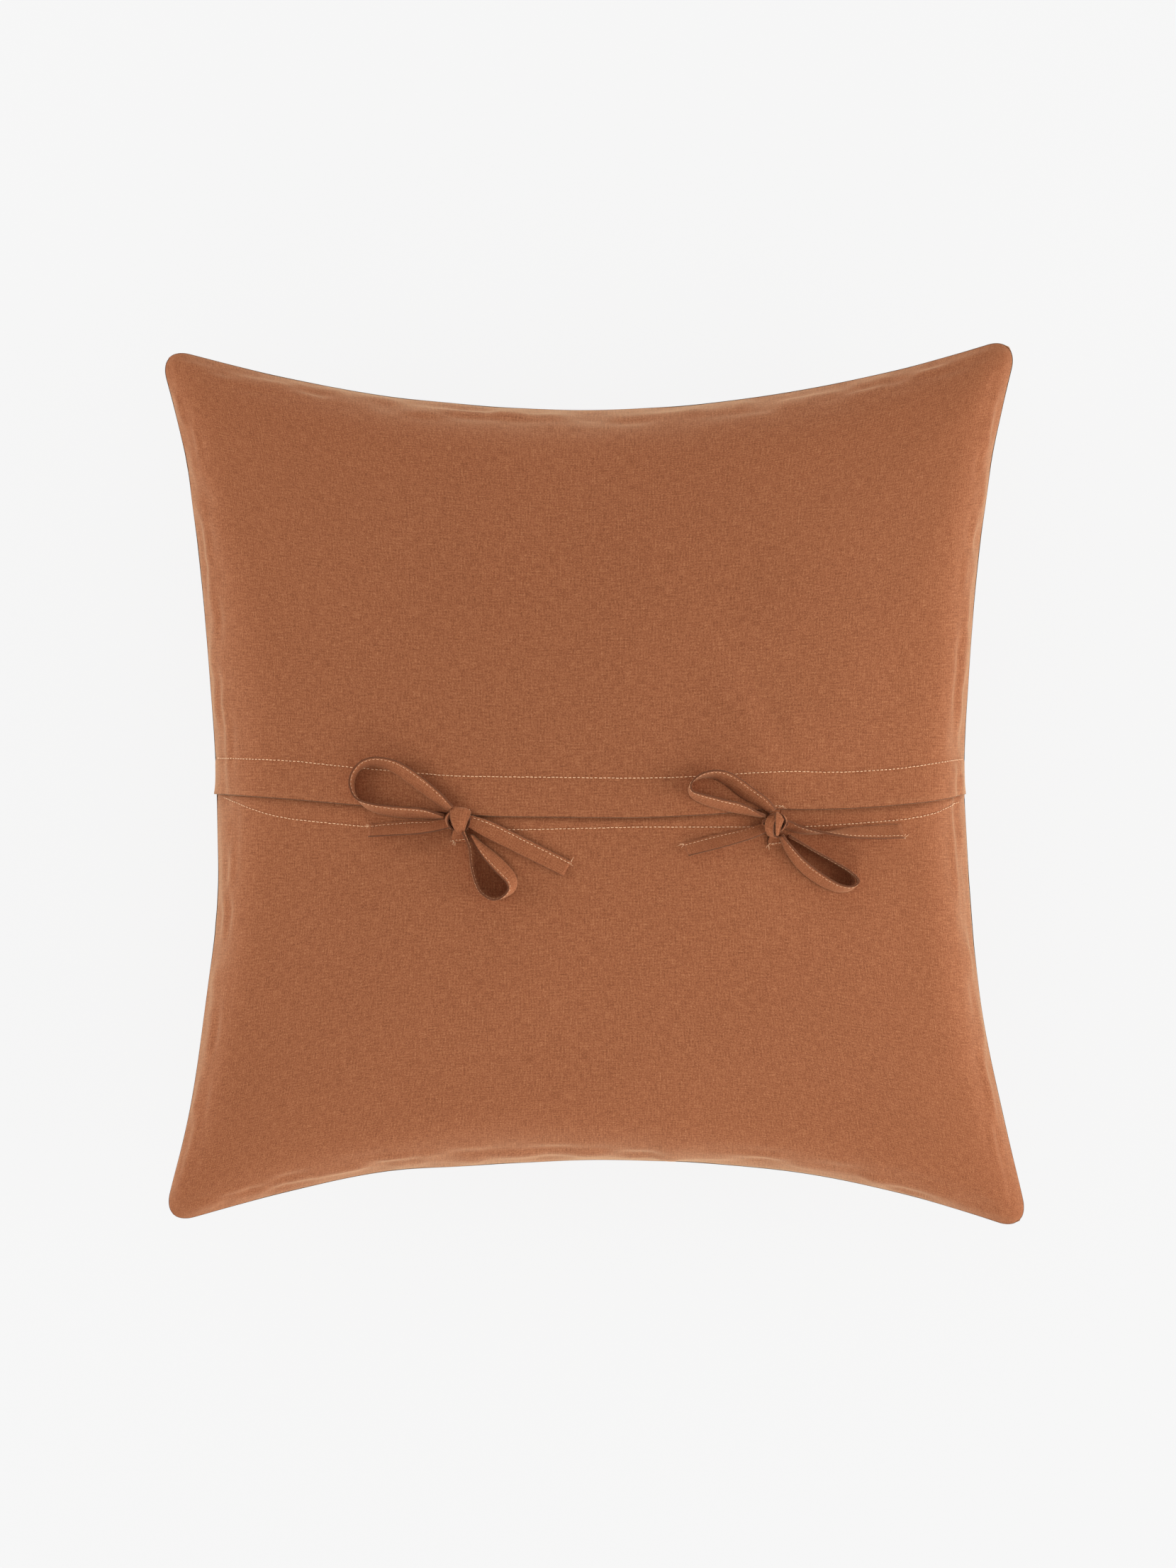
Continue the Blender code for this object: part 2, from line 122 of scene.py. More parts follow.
def plainWoven(name, look):
    material, tree = emptyMaterial(name)
    pitch = look["yarnPitch"]
    place = addNode(tree, "ShaderNodeUVMap", uv_map="cloth")
    inYarns = addNode(tree, "ShaderNodeVectorMath", {0: place, "Scale": 1 / (pitch * mm)}, operation="SCALE")
    drift = addNode(tree, "ShaderNodeTexNoise",
                    {"Vector": inYarns, "Scale": look["wanderScale"], "Detail": 1.0}, noise_dimensions="2D")
    drifted = addNode(tree, "ShaderNodeVectorMath",
                      {0: drift.outputs["Color"], 1: (look["wander"], look["wander"], 0), 2: inYarns},
                      operation="MULTIPLY_ADD")

    # warp and weft, each rounded, and each on top at every other crossing
    split = addNode(tree, "ShaderNodeSeparateXYZ", {0: drifted})
    waves = []
    for k in (0, 1):
        turn = addNode(tree, "ShaderNodeMath", {0: split.outputs[k], 1: math.pi}, operation="MULTIPLY")
        waves.append(addNode(tree, "ShaderNodeMath", {0: turn}, operation="SINE"))
    over = addNode(tree, "ShaderNodeMath", {0: waves[0], 1: waves[1]}, operation="MULTIPLY")
    tops = []
    for wave, share in zip(waves, (0.5, -0.5)):
        ridge = addNode(tree, "ShaderNodeMath", {0: wave}, operation="ABSOLUTE")
        onTop = addNode(tree, "ShaderNodeMath", {0: over, 1: share, 2: 0.5}, operation="MULTIPLY_ADD")
        tops.append(addNode(tree, "ShaderNodeMath", {0: ridge, 1: onTop}, operation="MULTIPLY"))
    rounded = addNode(tree, "ShaderNodeMath", {0: tops[0], 1: tops[1]}, operation="MAXIMUM")

    # slubs: streaks along the warp and along the weft, stronger for the yarn on top
    slub = look["slubLength"] / pitch
    streaks = []
    for stretch, start in (((0.9, 1 / slub, 0), (3.1, 7.7, 0)), ((1 / slub, 0.9, 0), (11.3, 2.9, 0))):
        moved = addNode(tree, "ShaderNodeVectorMath", {0: drifted, 1: stretch, 2: start},
                        operation="MULTIPLY_ADD")
        streaks.append(addNode(tree, "ShaderNodeTexNoise",
                               {"Vector": moved, "Scale": 1.0, "Detail": 2.0, "Roughness": 0.55},
                               noise_dimensions="2D"))
    warpOnTop = addNode(tree, "ShaderNodeMath", {0: over, 1: 0.0}, operation="GREATER_THAN")
    topStreak = addNode(tree, "ShaderNodeMix", {0: warpOnTop, 2: streaks[1], 3: streaks[0]})
    bothStreaks = addNode(tree, "ShaderNodeMix", {0: 0.5, 2: streaks[0], 3: streaks[1]})
    streak = addNode(tree, "ShaderNodeMix", {0: 0.5, 2: bothStreaks, 3: topStreak})
    speckle = addNode(tree, "ShaderNodeTexNoise",
                      {"Vector": drifted, "Scale": look["speckleScale"], "Detail": 1.0}, noise_dimensions="2D")
    cloudy = addNode(tree, "ShaderNodeTexNoise",
                     {"Vector": inYarns, "Scale": pitch / look["cloudSize"], "Detail": 1.0},
                     noise_dimensions="2D")
    shade = 0.5
    for pattern, middle, share in ((streak, 0.5, "streakShare"), (speckle, 0.5, "speckleShare"),
                                   (cloudy, 0.5, "cloudShare"), (rounded, 0.6, "gapShare")):
        swing = addNode(tree, "ShaderNodeMath", {0: pattern, 1: middle}, operation="SUBTRACT")
        shade = addNode(tree, "ShaderNodeMath", {0: swing, 1: look[share], 2: shade}, operation="MULTIPLY_ADD")
    shade.use_clamp = True
    colour = addNode(tree, "ShaderNodeValToRGB", {0: shade})
    stops = colour.color_ramp.elements
    for position in look["middleStops"]:
        stops.new(position)
    for stop, code in zip(stops, look["yarnColours"]):
        stop.color = linear(code)

    # above zero the wear-and-shade attribute rubs the dye paler, yarn by yarn, as along seams and folds;
    # below zero it is painted shade: it darkens the colour where shadow falls, in the turned-in edges of the ties and
    # knots and under the flap's hem
    wearAndShade = addNode(tree, "ShaderNodeAttribute", attribute_name="wearAndShade").outputs["Fac"]
    wear = addNode(tree, "ShaderNodeMath", {0: streak, 1: 0.9, 2: 0.1}, operation="MULTIPLY_ADD")
    rubbed = addNode(tree, "ShaderNodeMath", {0: wearAndShade, 1: wear}, operation="MULTIPLY", use_clamp=True)
    paintedShade = addNode(tree, "ShaderNodeMath", {0: wearAndShade, 1: -1.0}, operation="MULTIPLY", use_clamp=True)
    for amount, tint in ((rubbed, "wornColour"), (paintedShade, "paintedShadeColour")):
        colour = addNode(tree, "ShaderNodeMix", {0: amount, 6: colour, 7: linear(look[tint])},
                         data_type="RGBA").outputs[2]

    height = addNode(tree, "ShaderNodeMath", {0: streak, 1: 0.7, 2: rounded}, operation="MULTIPLY_ADD")
    bump = addNode(tree, "ShaderNodeBump", {"Height": height, "Strength": look["bumpStrength"],
                                            "Distance": look["yarnHeight"] * mm})
    spread = look["roughnessSpread"]
    roughness = addNode(tree, "ShaderNodeMath", {0: streak, 1: -spread, 2: look["roughness"] + spread / 2},
                        operation="MULTIPLY_ADD")
    shader = addNode(tree, "ShaderNodeBsdfPrincipled",
                     {"Base Color": colour, "Roughness": roughness, "Normal": bump, "IOR": 1.5,
                      "Specular IOR Level": 0.25, "Sheen Weight": look["sheen"], "Sheen Roughness": 0.45,
                      "Sheen Tint": linear(look["sheenColour"])})
    addNode(tree, "ShaderNodeOutputMaterial", {0: shader})
    return material


linen = plainWoven("rustLinen", linenLook)
tapeLinen = plainWoven("rustLinenTape", dict(linenLook, yarnPitch=0.9, slubLength=10, cloudSize=25,
                                             streakShare=0.55, sheen=0.25))
# Calico: plain-woven unbleached cotton, smoother and more even than linen.
calico = plainWoven("calico", dict(
    linenLook, yarnPitch=0.8, slubLength=6, cloudSize=90, streakShare=0.5, sheen=0.1,
    yarnColours=("#BFB8A8", "#D3CCBC", "#DED8C9", "#E7E2D5", "#F1EDE3"),
    # its crease colour is a paler painted shade
    wornColour="#F3F0E8", paintedShadeColour="#A8A294", sheenColour="#FFFFFF"))

# Sewing thread: three-ply spun polyester, slightly glossy, its plies show as slanting bands.
threadLook = {"plyPitch": 0.5, "fuzzScale": 0.9, "roughness": 0.5}      # millimetres, and to one millimetre


def twistedThread(name, deep, bright):
    material, tree = emptyMaterial(name)
    place = addNode(tree, "ShaderNodeTexCoord").outputs["Object"]
    plies = addNode(tree, "ShaderNodeTexWave",
                    {"Vector": place, "Scale": 1 / (threadLook["plyPitch"] * mm) / 6.28, "Distortion": 1.5,
                     "Detail": 1.0}, bands_direction="DIAGONAL").outputs["Fac"]
    fuzz = addNode(tree, "ShaderNodeTexNoise",
                   {"Vector": place, "Scale": threadLook["fuzzScale"] / mm, "Detail": 2.0})
    shade = addNode(tree, "ShaderNodeMix", {0: 0.5, 2: plies, 3: fuzz})
    colour = addNode(tree, "ShaderNodeMix", {0: shade, 6: linear(deep), 7: linear(bright)}, data_type="RGBA")
    bump = addNode(tree, "ShaderNodeBump", {"Height": shade, "Strength": 0.5, "Distance": 0.1 * mm})
    roughness = addNode(tree, "ShaderNodeMath", {0: fuzz, 1: 0.15, 2: threadLook["roughness"]},
                        operation="MULTIPLY_ADD")
    shader = addNode(tree, "ShaderNodeBsdfPrincipled",
                     {"Base Color": colour.outputs[2], "Roughness": roughness, "Normal": bump, "IOR": 1.55,
                      "Sheen Weight": 0.2, "Sheen Roughness": 0.3})
    addNode(tree, "ShaderNodeOutputMaterial", {0: shader})
    return material


peachThread = twistedThread("peachThread", "#D89A6C", "#F9D2A8")
creamThread = twistedThread("creamThread", "#C9C0AE", "#F0EADC")

# Hollow-fibre polyester: a carded, crimped fibre pad, matt and cloudy white.
fibreLook = {"deep": "#C9C9C4", "bright": "#F6F6F2", "tuftSize": 18, "strandSize": 1.5}      # millimetres


def cardedFibre(name, look):
    material, tree = emptyMaterial(name)
    place = addNode(tree, "ShaderNodeTexCoord").outputs["Object"]
    tufts = addNode(tree, "ShaderNodeTexNoise", {"Vector": place, "Scale": 1 / (look["tuftSize"] * mm),
                                                 "Detail": 6.0, "Distortion": 0.6})
    strands = addNode(tree, "ShaderNodeTexNoise", {"Vector": place, "Scale": 1 / (look["strandSize"] * mm),
                                                   "Detail": 3.0, "Distortion": 2.0})
    shade = addNode(tree, "ShaderNodeMix", {0: 0.4, 2: tufts, 3: strands})
    colour = addNode(tree, "ShaderNodeMix", {0: shade, 6: linear(look["deep"]), 7: linear(look["bright"])},
                     data_type="RGBA")
    bump = addNode(tree, "ShaderNodeBump", {"Height": shade, "Strength": 0.6, "Distance": 1.5 * mm})
    roughness = addNode(tree, "ShaderNodeMath", {0: strands, 1: 0.08, 2: 0.88}, operation="MULTIPLY_ADD")
    shader = addNode(tree, "ShaderNodeBsdfPrincipled",
                     {"Base Color": colour.outputs[2], "Roughness": roughness, "Normal": bump,
                      "Sheen Weight": 0.3, "Sheen Roughness": 0.6})
    addNode(tree, "ShaderNodeOutputMaterial", {0: shader})
    return material


fibre = cardedFibre("polyesterFibre", fibreLook)
print("materials ready")


# The filled cushion's form.
cushion = {
    "flatSide": 0.650,          # seam to seam, before it is filled
    "crown": 0.098,             # above the seam
    "belly": 0.100,             # below the seam, before its weight flattens it
    "contactBlend": 0.008,      # how softly the belly flattens on the floor
    "cornerRadius": 0.025,
    # The four seams at nine even places from corner to corner, in millimetres:
    # the sides from the near end to the far end, the ends from left to right.
    "leftSeam": (-319, -299, -286.5, -277.8, -278.5, -283.3, -290.8, -301.5, -322),
    "rightSeam": (320, 300.5, 283.5, 275.5, 271, 274.3, 281.5, 293, 312),
    "bottomSeam": (-326, -304, -286.5, -280.8, -277, -279.8, -288.3, -306, -331),
    "topSeam": (321, 301, 285.5, 277, 273.5, 278, 289, 306, 329),
    "plump": 0.86,              # below 1 the panels rise steeper from their seams
}
half = cushion["flatSide"] / 2


# smooth values at places t from 0 to 1, through evenly spaced ones
def throughPoints(values, t):
    known = np.array([2 * values[0] - values[1], *values, 2 * values[-1] - values[-2]], float)
    place = np.clip(np.asarray(t, float), 0, 1) * (len(values) - 1)
    k = np.minimum(place.astype(int), len(values) - 2)
    f = place - k
    a, b, c, d = known[k], known[k + 1], known[k + 2], known[k + 3]
    bend = (c - a) * f + (2 * a - 5 * b + 4 * c - d) * f ** 2 + (3 * b - a - 3 * c + d) * f ** 3
    return b + bend / 2


# where a place of the square cover comes to lie, seen from above; u and v run from -1 to 1
def seamOutline(u, v):
    r = cushion["cornerRadius"] / half
    p, q = [np.clip((np.abs(t) - (1 - r)) / r, 0, 1) for t in (u, v)]
    u = np.sign(u) * (np.abs(u) + p * (np.sqrt(1 - q * q / 2) - 1) * r)
    v = np.sign(v) * (np.abs(v) + q * (np.sqrt(1 - p * p / 2) - 1) * r)
    s, t = (u + 1) / 2, (v + 1) / 2
    x = (1 - s) * throughPoints(cushion["leftSeam"], t) + s * throughPoints(cushion["rightSeam"], t)
    y = (1 - t) * throughPoints(cushion["bottomSeam"], s) + t * throughPoints(cushion["topSeam"], s)
    return x * mm, y * mm


# The sewn square, filled: a cloth of two panels joined at the seam, with air in it.
filling = {
    "cells": 76, "frames": 18, "quality": 8,
    "startRise": 0.100, "startDrop": 0.095,      # of the panels from the seam, before the air comes in
    "volume": 0.0337, "pressure": 5, "seamHold": 0.3,
    "weight": 0.01, "stretch": 15, "shear": 2, "bend": 0.1,
    "stretchDamping": 10, "bendDamping": 1, "airDrag": 1,
    "gathered": 0.4,            # how much of the cloth the seams draw together near the corners
    "ironing": 8,               # passes that smooth out the small wrinkles of the simulation
}


def gridFaces(rows, columns, start=0, flip=False):
    n = start + np.arange(rows * columns).reshape(rows, columns)
    quads = np.stack((n[:-1, :-1], n[1:, :-1], n[1:, 1:], n[:-1, 1:]), -1).reshape(-1, 4)
    return (quads[:, ::-1] if flip else quads).tolist()


# the two panels as one mesh: its points, its points when cut flat, and each panel's point numbers
def sewnSquare():
    even = np.linspace(-1, 1, filling["cells"] + 1)
    drawn = (1 - filling["gathered"]) * even + filling["gathered"] * np.sin(np.pi * even / 2)
    U, V = np.meshgrid(even, even, indexing="ij")
    u, v = np.meshgrid(drawn, drawn, indexing="ij")
    x, y = seamOutline(u, v)
    onSeam = np.zeros(u.shape, bool)
    onSeam[[0, -1], :] = True
    onSeam[:, [0, -1]] = True
    rise = np.where(onSeam, 0, np.sqrt(np.clip((1 - u * u) * (1 - v * v), 0, 1)))
    back = np.stack((x, y, rise * filling["startRise"]), -1).reshape(-1, 3)
    front = np.stack((x, y, -rise * filling["startDrop"]), -1)[~onSeam]
    flatBack = np.stack((U * half, V * half, rise * mm), -1).reshape(-1, 3)
    flatFront = np.stack((U * half, V * half, -rise * mm), -1)[~onSeam]
    backNumbers = np.arange(u.size).reshape(u.shape)
    frontNumbers = backNumbers.copy()
    frontNumbers[~onSeam] = u.size + np.arange((~onSeam).sum())
    points = np.concatenate((back, front))
    flat = np.concatenate((flatBack, flatFront))
    return points, flat, (backNumbers, frontNumbers), onSeam


def blowUp(points, flat, numbers, onSeam):
    faces = []
    for n, flip in zip(numbers, (False, True)):
        quads = np.stack((n[:-1, :-1], n[1:, :-1], n[1:, 1:], n[:-1, 1:]), -1).reshape(-1, 4)
        faces += (quads[:, ::-1] if flip else quads).tolist()
    mesh = bpy.data.meshes.new("filledSquare")
    mesh.from_pydata(points.tolist(), [], faces)
    square = bpy.data.objects.new("filledSquare", mesh)
    bpy.context.scene.collection.objects.link(square)
    square.shape_key_add(name="filled")
    cut = square.shape_key_add(name="cut")
    cut.data.foreach_set("co", flat.ravel())
    square.active_shape_key_index = 0
    seam = square.vertex_groups.new(name="seam")
    seam.add([int(n) for n in numbers[0][onSeam]], 1.0, "REPLACE")

    cloth = square.modifiers.new("cloth", "CLOTH")
    feel = cloth.settings
    feel.rest_shape_key = cut
    feel.quality = filling["quality"]
    feel.mass = filling["weight"]
    feel.tension_stiffness = feel.compression_stiffness = filling["stretch"]
    feel.shear_stiffness = filling["shear"]
    feel.bending_stiffness = filling["bend"]
    feel.tension_damping = feel.compression_damping = feel.shear_damping = filling["stretchDamping"]
    feel.bending_damping = filling["bendDamping"]
    feel.air_damping = filling["airDrag"]
    feel.use_pressure = feel.use_pressure_volume = True
    feel.uniform_pressure_force = 0
    feel.pressure_factor = filling["pressure"]
    feel.target_volume = filling["volume"]
    feel.vertex_group_mass = "seam"
    feel.pin_stiffness = filling["seamHold"]
    feel.effector_weights.gravity = 0
    cloth.point_cache.frame_start = 1
    cloth.point_cache.frame_end = filling["frames"]
    scene = bpy.context.scene
    for step in range(1, filling["frames"] + 1):
        scene.frame_set(step)
    shaped = square.evaluated_get(bpy.context.evaluated_depsgraph_get()).data
    settled = np.empty(len(shaped.vertices) * 3)
    shaped.vertices.foreach_get("co", settled)
    scene.frame_set(1)
    bpy.data.objects.remove(square)
    return settled.reshape(-1, 3)


def ironed(grid, onSeam):
    seamPlaces = grid[onSeam].copy()
    for _ in range(filling["ironing"]):
        for axis in (0, 1):
            wider = np.pad(grid, [(1, 1) if k == axis else (0, 0) for k in range(3)],
                           mode="reflect", reflect_type="odd")
            before = np.take(wider, range(filling["cells"] + 1), axis)
            after = np.take(wider, range(2, filling["cells"] + 3), axis)
            grid = grid / 2 + (before + after) / 4
        grid[onSeam] = seamPlaces
    return grid


def fillCushion():
    points, flat, numbers, onSeam = sewnSquare()
    settled = blowUp(points, flat, numbers, onSeam)
    sides = []
    for n, depth in zip(numbers, (cushion["crown"], cushion["belly"])):
        grid = ironed(settled[n].copy(), onSeam)
        grid[..., 2] *= depth / np.abs(grid[..., 2]).max()
        sides.append(grid)
    return sides


settledSides = fillCushion()      # the tied back and the front, as grids of places from the seam's level
print("cushion filled, seam to crown", round(float(settledSides[0][..., 2].max()), 3))


# smooth place on a settled side, at flat places U and V from -1 to 1
def onGrid(grid, U, V):
    cells = grid.shape[0] - 1
    padded = np.pad(grid, ((1, 1), (1, 1), (0, 0)), mode="reflect", reflect_type="odd")
    where = []
    for t in (U, V):
        place = (np.clip(t, -1, 1) + 1) / 2 * cells
        k = np.minimum(place.astype(int), cells - 1)
        f = place - k
        where.append((k, (0.5 * (-f + 2 * f ** 2 - f ** 3), 0.5 * (2 - 5 * f ** 2 + 3 * f ** 3),
                          0.5 * (f + 4 * f ** 2 - 3 * f ** 3), 0.5 * (f ** 3 - f ** 2))))
    (i, wi), (j, wj) = where
    place = sum(wi[a][..., None] * wj[b][..., None] * padded[i + a, j + b] for a in range(4) for b in range(4))
    deep = np.abs(grid[..., 2]).max()
    place[..., 2] = np.sign(place[..., 2]) * deep * (np.abs(place[..., 2]) / deep) ** cushion["plump"]
    return place


# soft random hills of about one unit, from -1 to 1
def patchNoise(x, y, seed):
    table = np.random.RandomState(seed).uniform(-1, 1, (64, 64))
    i, j = np.floor(x).astype(int), np.floor(y).astype(int)
    f, g = x - i, y - j
    f, g = f * f * (3 - 2 * f), g * g * (3 - 2 * g)
    a, b = table[i % 64, j % 64], table[(i + 1) % 64, j % 64]
    c, d = table[i % 64, (j + 1) % 64], table[(i + 1) % 64, (j + 1) % 64]
    return (a * (1 - f) + b * f) * (1 - g) + (c * (1 - f) + d * f) * g


# What the sewing does to the cloth: gathers along the seams, the ridge of the seam
# allowance inside, slack across the panels, and a few folds where the bows pull.
relief = {
    "slackHeight": 0.7 * mm, "slackSize": 110 * mm,
    "creaseHeight": 0.06 * mm, "creaseSize": 17 * mm,
    "gatherHeight": 1.9 * mm, "gatherPitch": 15 * mm, "gatherReach": 24 * mm, "gatherDepth": 70 * mm,
    "gatherSlant": 0.6, "slantPitch": 60 * mm, "reachPitch": 45 * mm, "reachSpread": 0.7,
    "fineGathers": 0.45, "fineDepth": 50 * mm,      # the small gathers between, as a share of the others
    "rimFoldHeight": 1.7 * mm, "rimFoldLength": 26 * mm, "rimFoldWidth": 7 * mm,
    "rimFoldPlace": 14 * mm, "rimFoldSpread": 13 * mm,
    "allowanceHeight": 0.5 * mm, "allowancePlace": 12 * mm, "allowanceWidth": 5 * mm, "allowancePitch": 30 * mm,
    "seamFade": 5 * mm, "flatAtSeam": 3 * mm,
    # folds on the tied back: from, to, width and depth, in millimetres; a negative depth is a dip
    "folds": (
        ((-150, -49), (-98, -38), 4.5, -1.1), ((-146, -56), (-104, -47), 5, 0.7),
        ((-92, -52), (-60, -58), 6, -0.8), ((-90, -12), (-70, -16), 4, -0.6),
        ((58, 78), (112, 26), 9, -0.9), ((84, 84), (128, 22), 8, 0.9), ((112, 80), (140, 22), 8, -0.9),
        ((140, 70), (152, 20), 9, 0.7), ((92, -52), (122, -44), 5, -0.8), ((150, -42), (190, -52), 6, -0.8),
        ((-296, 290), (-215, 215), 14, 0.9), ((292, 300), (215, 220), 14, 0.9),
        ((-296, -296), (-215, -215), 14, 0.9), ((296, -300), (215, -215), 14, 0.9),
    ),
}


# along one seam: distance from it, place along it, and run, the same place from -1 to 1
def seamRelief(distance, along, run, side, seed):
    slant = patchNoise(along / relief["slantPitch"], distance * 0, seed + 40) * distance * relief["gatherSlant"]
    gathers = patchNoise((along + slant) / relief["gatherPitch"] + 50 * side,
                         distance / relief["gatherDepth"] + 3, seed)
    finePitch = relief["fineGathers"] * relief["gatherPitch"]
    fine = patchNoise((along - slant) / finePitch + 50 * side, distance / relief["fineDepth"] + 3, seed + 20)
    uneven = patchNoise(along / relief["reachPitch"], distance * 0 + 2, seed + 60)
    reach = relief["gatherReach"] * (1 + relief["reachSpread"] * uneven)
    fade = (1 - np.exp(-distance / relief["seamFade"])) * np.exp(-distance / reach)
    height = relief["gatherHeight"] * (1 - 0.75 * run ** 4) * (gathers + relief["fineGathers"] * fine) * fade

    folds = patchNoise(along / relief["rimFoldLength"] + 30 * side,
                       distance / relief["rimFoldWidth"] + 4, seed + 100)
    nearRim = np.exp(-((distance - relief["rimFoldPlace"]) / relief["rimFoldSpread"]) ** 2)
    height = height + relief["rimFoldHeight"] * folds * nearRim * (1 - run ** 4)

    ridge = np.exp(-((distance - relief["allowancePlace"]) / relief["allowanceWidth"]) ** 2)
    ridge = ridge * (1 + 0.9 * patchNoise(along / relief["allowancePitch"], distance * 0, seed + 80))
    return height + relief["allowanceHeight"] * ridge


def foldRelief(x, y):
    height = 0
    for start, end, width, depth in relief["folds"]:
        ax, ay, bx, by = (c * mm for c in (*start, *end))
        t = ((x - ax) * (bx - ax) + (y - ay) * (by - ay)) / ((bx - ax) ** 2 + (by - ay) ** 2)
        near = np.clip(t, 0, 1)
        offSquared = (x - ax - near * (bx - ax)) ** 2 + (y - ay - near * (by - ay)) ** 2
        taper = np.sin(np.pi * np.clip(0.1 + 0.8 * near, 0, 1))
        height = height + depth * mm * taper * np.exp(-offSquared / (width * mm) ** 2)
    return height


def clothRelief(U, V, x, y, side):
    slackU, slackV = U * half / relief["slackSize"], V * half / relief["slackSize"]
    creaseU, creaseV = U * half / relief["creaseSize"], V * half / relief["creaseSize"]
    height = relief["slackHeight"] * patchNoise(slackU + 9.3 + 20 * side, slackV + 4.1, 5)
    height = height + relief["creaseHeight"] * patchNoise(creaseU + 30 * side, creaseV + 17, 6)
    for gap, run, seed in ((1 + U, V, 11), (1 - U, V, 12), (1 + V, U, 13), (1 - V, U, 14)):
        height = height + seamRelief(gap * half, run * half, run, side, seed)
    if side == 0:
        height = height + foldRelief(x, y)
    fromSeam = np.minimum(1 - np.abs(U), 1 - np.abs(V)) * half
    return height * (1 - np.exp(-fromSeam / relief["flatAtSeam"]))


# At the seam the back dips into the groove and the front rolls out past it.
seamRoll = {
    "depth": 0.6 * mm, "reach": 6 * mm, "cornerReach": 12 * mm,
    "uneven": 0.7, "unevenPitch": 30 * mm,
    "frontBulge": 1.6, "bulgePlace": 2.5 * mm, "bulgeWidth": 2.2 * mm,
}


# how far the cloth is pushed out sideways by its seam
def seamPush(U, V, side):
    gapU, gapV = (1 - np.abs(U)) * half, (1 - np.abs(V)) * half
    away = np.stack((np.sign(U) * np.exp(-gapU / seamRoll["cornerReach"]),
                     np.sign(V) * np.exp(-gapV / seamRoll["cornerReach"]), U * 0), -1)
    away /= np.maximum(np.linalg.norm(away, axis=-1, keepdims=True), 1e-9)
    gap = np.minimum(gapU, gapV)
    run = np.where(gapU < gapV, V, U) * half
    uneven = patchNoise(run / seamRoll["unevenPitch"], (gapU < gapV) * 5.0, 91)
    roll = seamRoll["depth"] * (1 + seamRoll["uneven"] * uneven)
    push = -roll * np.exp(-gap / seamRoll["reach"])
    if side:
        bulge = np.exp(-((gap - seamRoll["bulgePlace"]) / seamRoll["bulgeWidth"]) ** 2)
        push = push + seamRoll["frontBulge"] * roll * bulge
    return away * push[..., None]


# heights flattened where they would press into a floor, with a soft edge
def pressedFlat(z, floor):
    blend = cushion["contactBlend"]
    reach = np.maximum(blend - np.abs(z - floor), 0) / blend
    return np.maximum(z, floor) + reach ** 2 * blend / 4


# places and outward directions on the cover; side 0 is the tied back, 1 the front
def coverSurface(U, V, side):
    U, V = np.broadcast_arrays(np.asarray(U, float), np.asarray(V, float))
    grid, step = settledSides[side], 0.006
    place = onGrid(grid, U, V)
    alongU = onGrid(grid, np.minimum(U + step, 1), V) - onGrid(grid, np.maximum(U - step, -1), V)
    alongV = onGrid(grid, U, np.minimum(V + step, 1)) - onGrid(grid, U, np.maximum(V - step, -1))
    outward = np.cross(alongU, alongV) * (1 - 2 * side)
    outward /= np.maximum(np.linalg.norm(outward, axis=-1, keepdims=True), 1e-12)
    place = place + outward * clothRelief(U, V, place[..., 0], place[..., 1], side)[..., None]
    place = place + seamPush(U, V, side)
    place[..., 2] += seamHeight
    if side:
        place[..., 2] = pressedFlat(place[..., 2], 0)
    return place, outward


# The opening across the back: its lines run from left to right, as (x, y) in millimetres.
opening = {
    "flapEdge": ((-282, -7.3), (-222, -11.4), (-175, -15.6), (-78, -23.9), (31, -25), (87, -22.4),
                 (126, -18.2), (156, -19.2), (199, -17.7), (253, -12.5), (274, -6.2)),
    "flapStitching": ((-282, 18.2), (-222, 16.1), (-181, 11.4), (-104, 4.7), (31, 3.1), (70, 4.2),
                      (135, 8.3), (178, 7.3), (221, 9.9), (274, 18.2)),
    "lowerStitching": ((-282, -8), (-273.5, -9.9), (-253.8, -19.2), (-228.3, -26), (-166.9, -32.2),
                       (-54, -34.3), (31, -32.2), (156, -32.2), (199, -29.1), (231, -26.5), (261.6, -19.2), (271, -9)),
    "rounding": 14 * mm,        # of the lines' corners
    "flapHem": 1.4 * mm, "lowerHem": 0.8 * mm,      # thickness where the hem is turned under
    "flapGap": 0.4 * mm,        # between the flap's hem and the lower panel
    "underlap": 20 * mm,        # of the lower panel beneath the flap
    "recessStart": 34 * mm, "recessEnd": 90 * mm,   # where the lower panel comes up flush again
    "crevice": 2.4 * mm, "creviceWidth": 1.7 * mm,  # the lower panel gives way right under the flap's edge
}
flapDrop = opening["flapHem"] + opening["flapGap"]


# y of one of the opening's lines, at x in metres
def lineY(name, x):
    xs, ys = np.array(opening[name]).T * mm
    around = np.linspace(-opening["rounding"], opening["rounding"], 9)
    return np.interp(x[..., None] + around, xs, ys).mean(-1)


solvingSteps, solvingScale = 14, 0.34      # U and V are found step by step; the scale is metres to one unit


# the V at which each U's column crosses a line, moved up by shift
def rowOn(U, name, shift=0.0):
    V = np.zeros_like(U)
    for _ in range(solvingSteps):
        place = onGrid(settledSides[0], U, V)
        V = np.clip(V + (lineY(name, place[..., 0]) + shift - place[..., 1]) / solvingScale, -1, 1)
    return V


# U and V of a place on the back, seen from above
def backPlace(x, y):
    U, V = np.array(x) / 0.3, np.array(y) / 0.3
    for _ in range(solvingSteps):
        place = onGrid(settledSides[0], U, V)
        U, V = U + (x - place[..., 0]) / solvingScale, V + (y - place[..., 1]) / solvingScale
    return U, V


# how far the lower panel lies below the flush back beside the flap, from 0 to 1
def lowerRecess(x, y):
    t = (lineY("flapEdge", x) - y - opening["recessStart"]) / (opening["recessEnd"] - opening["recessStart"])
    t = np.clip(t, 0, 1)
    return 1 - t * t * (3 - 2 * t)


